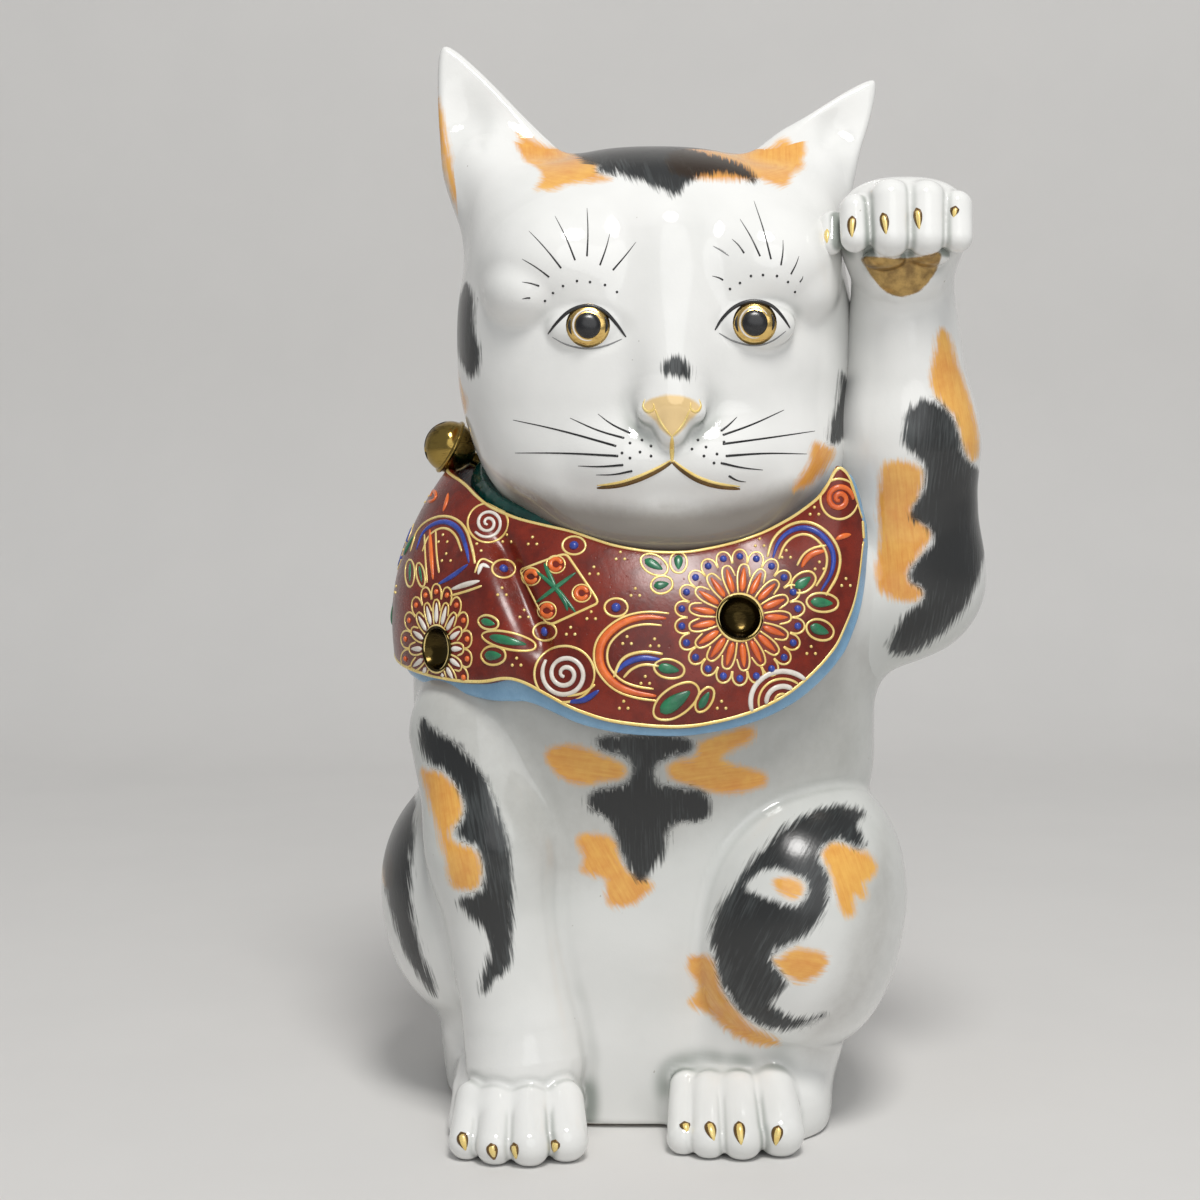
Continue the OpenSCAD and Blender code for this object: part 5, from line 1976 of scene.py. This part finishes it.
@dataclass(frozen=True)
class Motifs:
    """The motifs that the bib's pattern is made of."""

    line: float = 0.41

    def flower(self, brush: Brush, middle: Point, squeeze: float, inner: tuple[str, int],
               outer: tuple[str, int], radii: Point) -> None:
        """One flower.

        Args:
            brush: The brush on the bib.
            middle: Its middle.
            squeeze: Its width as a share of its height.
            inner: Colour and count of the inner petals.
            outer: Colour and count of the beaded outer petals.
            radii: Radii of the dish, the inner petals' tips, the beads and the outer tips.
        """
        dish, tip, bead, rim = radii
        at = Around(middle, squeeze).at
        colour, count = inner
        for turn in np.arange(count) * 360 / count:
            petal = at((dish * 1.16, (dish + tip) / 2, tip * 0.95), turn)
            brush.stroke(colour, petal, 1.15 * (0.6 + 0.4 * squeeze), Taper.DROP, 0.55)
            spread = turn + 160 / count * np.array((-1, -1, -0.55, 0, 0.55, 1))
            outline = at((dish * 1.12, tip * 0.8, tip, tip * 1.03, tip, tip * 0.8), spread)
            brush.stroke("gold", outline, self.line * 0.85)
        colour, count = outer
        for turn in (np.arange(count) + 0.5) * 360 / count:
            spread = turn + 168 / count * np.array((-1, -1, -0.6, 0, 0.6, 1, 1))
            scallop = at((tip * 1.04, bead, rim * 0.97, rim, rim * 0.97, bead, tip * 1.04), spread)
            brush.stroke("gold", scallop, self.line * 0.85)
            brush.beads(colour, at((bead,), turn), 1.25 * (0.55 + 0.45 * squeeze))
        brush.loop("gold", arc(middle, (dish * squeeze * 1.04, dish * 1.04), 0, 340, 18), self.line * 1.5)

    def three(self, brush: Brush, x: float, y: float, wide: float = 13, tip: float = -12,
              foot: float = 9) -> None:
        """Three gold dots round a place."""
        brush.beads("gold", [(x, y + tip), (x - wide, y + foot), (x + wide, y + foot)], 0.55)


@dataclass(frozen=True)
class Ornament(Motifs):
    """The slip-trailed flowers, scrolls and leaves on the bib, in the bib sketch's places."""

    right_flower: Point = (1085, 535)
    left_flower: Point = (170, 630)

    def leaf(self, brush: Brush, x: float, y: float, long: float, wide: float, tilt: float) -> None:
        """A green leaf in a gold outline."""
        half = np.array([(-1.0, 0), (-0.55, -0.85), (0.2, -1.0), (0.85, -0.6), (1.0, 0)])
        shape = np.vstack([half, half[3:0:-1] * (1, -1)]) * (long, wide)
        brush.loop("gold", (x, y) + turned(shape, tilt), self.line)
        spine = (x, y) + turned([(-0.62 * long, 0), (0, 0), (0.62 * long, 0)], tilt)
        brush.stroke("green", spine, wide * 0.054, Taper.DROP, 0.4, 12)

    def spiral(self, brush: Brush, colour: str, middle: Point, radius: float, turns: float,
               width: float) -> None:
        """A spiral from its middle outwards.

        Args:
            brush: The brush on the bib.
            colour: Its colour.
            middle: Its middle.
            radius: Its outer radius.
            turns: How often it goes round.
            width: Half width of its line.
        """
        share = np.linspace(0.12, 1, int(16 * turns))
        turn = share * turns * math.tau
        line = np.array(middle) + radius * share[:, None] * np.stack([np.cos(turn), np.sin(turn)], 1)
        brush.stroke(colour, line, width)

    def diamond(self, brush: Brush) -> None:
        """The tilted square of four rosettes round a green cross."""
        corners = ((420, 392), (560, 340), (662, 490), (505, 562))
        brush.loop("gold", spaced(np.array((*corners, corners[0]), float), 26)[:-1], self.line * 1.1)
        for cross in (((470, 395), (530, 445), (590, 520)), ((590, 400), (530, 445), (470, 490)),
                      ((495, 372), (512, 410), (530, 445)), ((530, 445), (560, 490), (565, 515))):
            brush.stroke("green", cross, 0.85, Taper.BOTH)
        for place in ((455, 412), (530, 375), (608, 462), (503, 515)):
            brush.stroke("orange", arc(place, (17, 17), 20, 350), 0.8)
            brush.loop("gold", arc(place, (29, 27), 0, 330), self.line * 0.7)

    def scrolls(self, brush: Brush) -> None:
        """Scrolls, arcs, spirals and fans."""
        big = ((862, 538), (800, 532), (740, 545), (692, 578), (665, 615), (660, 660), (672, 698), (712, 742),
               (768, 764), (832, 772))
        brush.stroke("orange", big, 1.35, Taper.BOTH)
        centre = np.array((790, 655))
        for grow in (1.13, 0.82):
            brush.stroke("gold", centre + (np.array(big) - centre) * grow, self.line)
        arcs = (
            ("blue", ((715, 700), (740, 672), (790, 655), (845, 662)), 1.0),
            ("gold", ((705, 715), (728, 655), (790, 636), (852, 645)), 0.52),
            ("gold", ((735, 716), (758, 690), (795, 675), (840, 682)), 0.45),
            ("blue", ((1185, 355), (1200, 305), (1240, 270), (1290, 262), (1340, 290), (1370, 340),
                      (1365, 400), (1330, 455)), 0.95),
            ("gold", ((1168, 352), (1184, 295), (1232, 254), (1292, 243), (1352, 276), (1390, 338),
                      (1384, 405), (1345, 468)), 0.52),
            ("gold", ((1203, 358), (1218, 315), (1250, 288), (1288, 282), (1325, 305), (1350, 345),
                      (1345, 395), (1315, 440)), 0.45),
            ("orange", ((1272, 384), (1286, 356), (1310, 340), (1342, 334)), 1.0),
            ("gold", ((1258, 378), (1275, 345), (1304, 325), (1345, 318)), 0.42),
            ("blue", ((570, 790), (620, 785), (660, 755)), 1.0),
            ("gold", ((565, 772), (612, 766), (648, 738)), 0.42),
            ("blue", ((110, 330), (130, 270), (190, 240), (240, 265), (262, 330), (268, 370)), 0.95),
            ("gold", ((92, 335), (114, 258), (188, 222), (254, 250), (280, 330), (286, 372)), 0.52),
            ("gold", ((128, 335), (146, 285), (190, 260), (228, 282), (246, 335)), 0.45),
            ("blue", ((175, 435), (220, 410), (265, 375)), 0.95),
            ("orange", ((150, 270), (153, 330), (160, 420)), 0.95),
            ("gold", ((134, 285), (136, 345), (142, 430)), 0.42),
            ("gold", ((168, 275), (170, 345), (178, 400)), 0.42),
            ("white", ((215, 450), (260, 435), (300, 425)), 0.95),
            ("white", ((296, 405), (306, 372), (330, 385)), 0.85),
            ("gold", ((212, 470), (262, 456), (306, 440)), 0.45),
            ("gold", ((286, 400), (302, 352), (342, 372)), 0.42),
            ("orange", ((1375, 300), (1395, 290), (1420, 285)), 0.9),
            ("orange", ((190, 215), (200, 190), (205, 160)), 0.9),
        )
        for colour, places, width in arcs:
            brush.stroke(colour, places, width, Taper.EVEN if colour == "gold" else Taper.BOTH)
        self.spiral(brush, "white", (325, 250), 46, 2.4, 0.6)
        self.spiral(brush, "white", (558, 706), 72, 2.6, 0.75)
        self.spiral(brush, "orange", (1385, 178), 42, 2.0, 0.9)
        self.spiral(brush, "orange", (152, 165), 30, 1.8, 0.8)
        for place, radii, count in (((325, 250), (62, 60), 16), ((556, 706), (92, 86), 18),
                                    ((1385, 178), (58, 62), 16)):
            brush.loop("gold", arc(place, radii, 0, 340, count), self.line)
        for colour, radius, width in (("gold", 26, self.line), ("white", 50, 0.85), ("gold", 74, self.line),
                                      ("white", 98, 0.85)):
            brush.stroke(colour, arc((1215, 790), (radius, radius * 0.95), 150, 335), width)

    def drops(self, brush: Brush) -> None:
        """Ringed beads and the gold dots between the motifs."""
        for place in ((585, 318), (373, 388), (712, 505), (497, 578)):
            brush.loop("gold", arc(place, (36, 28), 0, 330), self.line)
            brush.beads("blue", [place], 1.6)
        for place in (
            (190, 298), (460, 305), (645, 395), (770, 460), (637, 530), (575, 577), (745, 605), (828, 612),
            (800, 725), (735, 800), (1030, 800), (1145, 310), (1225, 345), (1310, 215), (1325, 380),
            (368, 458), (383, 298), (292, 325), (435, 525), (725, 350), (412, 670), (1300, 635), (1405, 430),
            (200, 355),
        ):
            self.three(brush, *place)

    def leaves(self, brush: Brush) -> None:
        """All leaves."""
        for leaf in (
            (825, 375, 48, 30, 30), (900, 368, 34, 27, 90), (848, 437, 36, 28, -10), (1275, 430, 44, 30, -35),
            (1332, 490, 52, 30, 5), (1325, 572, 46, 32, 20), (870, 690, 50, 30, 10), (890, 790, 85, 45, -35),
            (978, 785, 45, 24, -60), (325, 550, 34, 22, 15), (385, 605, 90, 27, 12), (340, 650, 40, 30, 0),
            (90, 400, 45, 15, 90), (122, 405, 40, 13, 80),
        ):
            self.leaf(brush, *leaf)

    def draw(self, brush: Brush) -> None:
        """Draws the whole pattern that the photograph shows."""
        self.flower(brush, self.right_flower, 0.96, ("orange", 17), ("blue", 22), (68, 158, 184, 207))
        self.flower(brush, self.left_flower, 0.55, ("white", 16), ("orange", 18), (68, 146, 172, 198))
        self.diamond(brush)
        self.scrolls(brush)
        self.drops(brush)
        self.leaves(brush)


@dataclass(frozen=True)
class BibCanvas:
    """The bib, drawn on by angle and height."""

    bib: Bib

    def spots(self, places: Cloud) -> Pair:
        """Points and normals on the bib.

        Args:
            places: Rows of an angle and a height.

        Returns:
            Rows of points and rows of normals.
        """
        angles, heights = places.T
        here = self.bib.point(angles, heights)
        along = self.bib.point(angles + 0.3, heights) - here
        up = self.bib.point(angles, heights + 0.3) - here
        normals = unit(np.cross(along, up))
        return here - self.bib.fold(here)[:, None] * normals, normals


@dataclass(frozen=True)
class SideOrnament(Motifs):
    """The same motifs where the bib runs on round the left shoulder to the back, by angle and height."""

    flower_at: Point = (-112, 186)
    squeeze: float = 0.68

    def small_flower(self, brush: Brush, middle: Point) -> None:
        """A smaller flower of orange petals and blue beads."""
        at = Around(middle, self.squeeze).at
        for turn in np.arange(14) * 360 / 14:
            brush.stroke("orange", at((4.6, 6.6, 8.6), turn), 1.0, Taper.DROP, 0.55)
            outline = at((4, 7.5, 9.6, 9.9, 9.6, 7.5), turn + np.array((-11, -11, -6, 0, 6, 11)))
            brush.stroke("gold", outline, 0.42)
            brush.beads("blue", at((11.6,), turn + 12.8), 1.15)
            scallop = at((10, 12, 13.4, 12, 10), turn + np.array((2, 3, 12.8, 22.6, 23.6)))
            brush.stroke("gold", scallop, 0.42)
        brush.stroke("gold", at(np.full(25, 3.4), np.linspace(0, 360, 25)), 0.8)
        brush.beads("gold", [middle], 2.9, 0.35)

    def scroll(self, brush: Brush, angle: float, height: float, flip: float) -> None:
        """A scroll of blue and gold with a leaf and three dots."""
        for colour, radius, width in (("blue", 6.2, 0.9), ("gold", 7.8, 0.45), ("gold", 4.7, 0.42)):
            radii = (self.squeeze * flip * radius, radius)
            brush.stroke(colour, arc((angle, height), radii, 20, 330, 16), width)
        leaf = [(angle + flip * out, height + up) for out, up in ((8, -2), (10, 2), (12, 5))]
        brush.stroke("green", leaf, 1.5, Taper.DROP, 0.4)
        self.three(brush, angle, height, 1, 1.6, -1)

    def draw(self, brush: Brush) -> None:
        """Draws the motifs from the left shoulder to the back."""
        self.small_flower(brush, self.flower_at)
        for angle, height, flip in ((-88, 190, 1), (-134, 204, -1), (-96, 165, 1), (-128, 188, 1)):
            self.scroll(brush, angle, height, flip)
        for place in ((-98, 178), (-122, 206), (-146, 214), (-104, 207), (-80, 176), (-140, 196), (-92, 206)):
            self.three(brush, *place, 0.9, 1.3, -0.8)


@dataclass(frozen=True)
class Neckwear:
    """Bib, lining, gilded dishes, collar and bow."""

    bib: Bib = Bib()
    ornament: Ornament = Ornament()
    collar_at: Point = (5, 0, 212)
    collar_tilt: float = 20
    collar_side: float = 59
    collar_deep: float = 0.857
    collar_high: float = 6.0
    collar_thick: float = 4.0
    bow_at: Point = (5, 50.2, 228.4)
    dish_r: float = 7.1
    left_dish_r: float = 6.958

    def dish(self, place: Cloud, normal: Cloud) -> Shell:
        """A gilded bowl sunk in the bib.

        Args:
            place: The middle of its mouth.
            normal: The bib's normal there.

        Returns:
            The bowl.
        """
        across = unit(np.cross((0, 0, 1), normal))
        turn = np.arange(32)[:, None] * math.tau / 32
        circle = self.dish_r * (np.cos(turn) * across + np.sin(turn) * np.cross(normal, across))
        profile = ((0.35, -4.1), (0.62, -3.3), (0.82, -1.9), (0.94, -0.4), (1.0, 0.45), (1.06, 0.2),
                   (1.06, -1.4), (0.9, -3.6), (0.5, -4.9))
        rings = np.array([place + share * circle + depth * normal for share, depth in profile])
        return lump(rings, place - 4.3 * normal, place - 5.1 * normal)

    def collar_point(self, turn: Cloud, out: Cloud, up: Cloud) -> Cloud:
        """Places on the collar by angle from the front, distance out and height up."""
        tilt = math.radians(self.collar_tilt)
        y = -(self.collar_side + out) * self.collar_deep * np.cos(turn)
        height = y * math.sin(tilt) + up * math.cos(tilt)
        points = [(self.collar_side + out) * np.sin(turn), y * math.cos(tilt) - up * math.sin(tilt), height]
        return np.stack(points, -1) + np.array(self.collar_at)

    def collar(self) -> Shell:
        """The pleated band of the collar."""
        around, section = 360, 16
        turn = np.arange(around)[:, None] * 2 * math.pi / around + np.zeros((1, section))
        lap = np.arange(section)[None] * 2 * math.pi / section + np.zeros((around, 1))
        pleat = 0.35 * np.cos(turn * 60) * np.abs(np.cos(lap)) - 0.25
        out = (self.collar_thick + pleat) * np.cos(lap)
        points = self.collar_point(turn, out, self.collar_high * np.sin(lap))
        index = np.arange(around * section).reshape(around, section)
        after, above = np.roll(index, -1, 0), np.roll(index, -1, 1)
        faces = np.stack([index, after, np.roll(after, -1, 1), above], -1).reshape(-1, 4)
        return Shell(points.reshape(-1, 3), faces.tolist())

    def bow(self) -> Form:
        """The tied bow behind the neck."""
        x, y, z = self.bow_at
        carve = Join.CARVE
        steps = []
        for side in (-1, 1):
            tilt = side * 14
            eye_x = x + side * 14.5
            fold = Limb((x + side * 7, y + 9.4, z - 12), 0.8, (x + side * 10, y + 10.2, z - 26), 1.2)
            steps += [
                Step(Egg((x + side * 13.5, y, z + 2.5), (10, 4.4, 8.2), 2.3, tilt), 2.0),
                Step(Egg((eye_x, y + 3.6, z + 3), (5.2, 2.2, 4.2), 2.0, tilt), 1.6, carve),
                Step(Egg((eye_x, y - 3.6, z + 3), (5.2, 2.0, 4.2), 2.0, tilt), 1.6, carve),
                Step(Limb((x + side * 2, y + 1.5, z - 3), 3.2, (x + side * 9, y + 5.2, z - 22), 3.8), 1.5),
                Step(fold, 1.2, carve),
            ]
        steps.append(Step(Egg((x, y + 0.5, z), (5.6, 5.0, 6.0), 2.4), 1.2))
        for crease in (x - 1.8, x + 1.8):
            steps.append(Step(Limb((crease, y + 6.4, z + 6), 0.7, (crease, y + 6.4, z - 6), 0.7), 0.8, carve))
        return Sculpt(Egg((x, y, z), (5.6, 4.6, 6.0)), steps)

    def rims(self, brush: Brush, shell: Shell) -> None:
        """Gilded rims along the bib's hem, neck edge and ends."""
        rows = self.bib.rows
        ring = shell.points[:-2].reshape(self.bib.columns, -1, 3)
        end = slice(2, rows - 2)
        for line, inner, sign in ((ring[:, -1], ring[:, 3], 1), (ring[:, rows], ring[:, rows - 4], -1),
                                  (ring[0, end], ring[3, end], -1), (ring[-1, end], ring[-4, end], 1)):
            normals = sign * unit(np.cross(np.gradient(line, axis=0), inner - line))
            brush.trail("gold").line(line, normals, np.full(len(line), 0.58), 0.7)

    def build(self, finishes: Finishes) -> None:
        """Makes bib, ornament, lining, collar and bow."""
        bib = self.bib
        level = ((0, 0),)
        plain = Canvas(bib.sheet(bib.first, level, level, 0, bib.thick).tree(), -0.45)
        flowers = BIB_SKETCH.px([self.ornament.right_flower, self.ornament.left_flower])
        places, normals = plain.spots(flowers)
        recesses = list(zip(places, (self.dish_r, self.left_dish_r)))
        shell = bib.sheet(bib.first, level, level, 0, bib.thick, 0, recesses)
        set_down("bib_cloth", shell.mesh("bib_cloth"), finishes.bib, Slot.BIB, ["bib"])
        bowls = [self.dish(place, normal) for place, normal in zip(places, normals)]
        Trail(bowls).build("flower_dishes", finishes.dish, Slot.GOLD)
        brush = Brush(plain, BIB_SKETCH)
        self.ornament.draw(brush)
        SideOrnament().draw(Brush(BibCanvas(bib), trails=brush.trails, step=0.7))
        self.rims(brush, shell)
        brush.build("bib_trail", finishes, Slot.BIB)
        below = [(place, radius + 3) for place, radius in recesses]
        lining = bib.sheet(bib.first + 3, bib.lining_fall, bib.lining_tuck, 3.4, 3.4, bib.lining_swing,
                           below, 7.5)
        set_down("blue_lining", lining.mesh("blue_lining"), finishes.lining, Slot.LINING, ["bib_lining"])
        collar = self.collar().mesh("pleated_collar")
        set_down("pleated_collar", collar, finishes.collar, Slot.COLLAR, ["collar"])
        bow = skin(self.bow(), 0.6).mesh("tied_bow")
        set_down("tied_bow", bow, finishes.collar, Slot.COLLAR, ["collar_bow"])


@dataclass(frozen=True)
class Bells:
    """Finishes of the two bells and their pellets, whose solids are shown as they are."""

    def build(self, finishes: Finishes) -> None:
        """Gives each solid its finish."""
        for side in ("left", "right"):
            for part, finish in (("bell_back", finishes.bell), ("bell_front", finishes.bell),
                                 ("bell_pellet", finishes.pellet)):
                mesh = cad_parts[f"{side}_{part}"].data
                mesh.materials.clear()
                mesh.materials.append(finish)
                log.info("%s_%s: its own solid", side, part)


# The studio


@dataclass(frozen=True)
class Studio:
    """A pale floor that sweeps up behind, soft lamps and the camera."""

    floor: Colour = (0.70, 0.69, 0.675)
    half: float = 3000
    near: float = -2200
    bend_at: float = 620
    bend_r: float = 260
    high: float = 2400

    def sweep(self) -> None:
        """The floor and backdrop in one sheet."""
        turn = np.radians(np.linspace(0, 90, 13))
        bend = np.stack([self.bend_at + self.bend_r * np.sin(turn), self.bend_r * (1 - np.cos(turn))], 1)
        profile = np.vstack([(self.near, 0), (0, 0), bend, (self.bend_at + self.bend_r, self.high)])
        points = np.array([(x, y, z - 0.05) for y, z in profile for x in (-self.half, self.half)])
        faces = [[2 * i, 2 * i + 1, 2 * i + 3, 2 * i + 2] for i in range(len(profile) - 1)]
        mesh = Shell(points, faces).mesh("sweep")
        kiln = Kiln("sweep_paper")
        grain = kiln.noise(kiln.place(), 14.0, 4.0)
        colour = kiln.mixed(grain.ramp(0.3, 0.7, 0.0, 0.12), self.floor, (0.60, 0.595, 0.585))
        mesh.materials.append(kiln.fire({"Base Color": colour, "Roughness": 0.85}))
        sweep = bpy.data.objects.new("sweep", mesh)
        bpy.context.scene.collection.objects.link(sweep)

    def lamp(self, name: str, at: Point, size: float, power: float, colour: Colour = (1, 1, 1)) -> None:
        """One soft lamp that faces the figure.

        Args:
            name: The lamp's name.
            at: Its place in metres.
            size: Its width in metres.
            power: Its power in watts.
            colour: Its colour.
        """
        data = bpy.data.lights.new(name, "AREA")
        data.shape = "DISK"
        data.size, data.energy, data.color = size, power, colour
        lamp = bpy.data.objects.new(name, data)
        lamp.location = at
        lamp.rotation_euler = (Vector((0, 0, 0.19)) - Vector(at)).to_track_quat("-Z", "Y").to_euler()
        bpy.context.scene.collection.objects.link(lamp)

    def build(self) -> None:
        """Sets up floor, lamps, world and camera."""
        self.sweep()
        self.lamp("key", (0.15, -0.9, 1.7), 0.55, 20.6, (1, 0.985, 0.96))
        self.lamp("front", (0.35, -1.7, 0.9), 1.6, 7.5, (0.98, 0.99, 1))
        world = bpy.data.worlds.new("room")
        world.use_nodes = True
        back = world.node_tree.nodes["Background"]
        back.inputs["Color"].default_value = (0.90, 0.92, 0.95, 1)
        back.inputs["Strength"].default_value = 0.34
        bpy.context.scene.world = world
        bpy.context.scene.view_settings.view_transform = "Standard"
        EYE.build()


def main() -> None:
    """Builds the figure from head to foot."""
    logging.basicConfig(level=logging.INFO, format="%(name)s %(message)s")
    Studio().build()
    finishes = Finishes()
    head = Head().build(finishes)
    Face().build(head, finishes)
    Body().build(finishes)
    FootSlab().build(finishes)
    Neckwear().build(finishes)
    Bells().build(finishes)


if __name__ == "__main__":
    main()
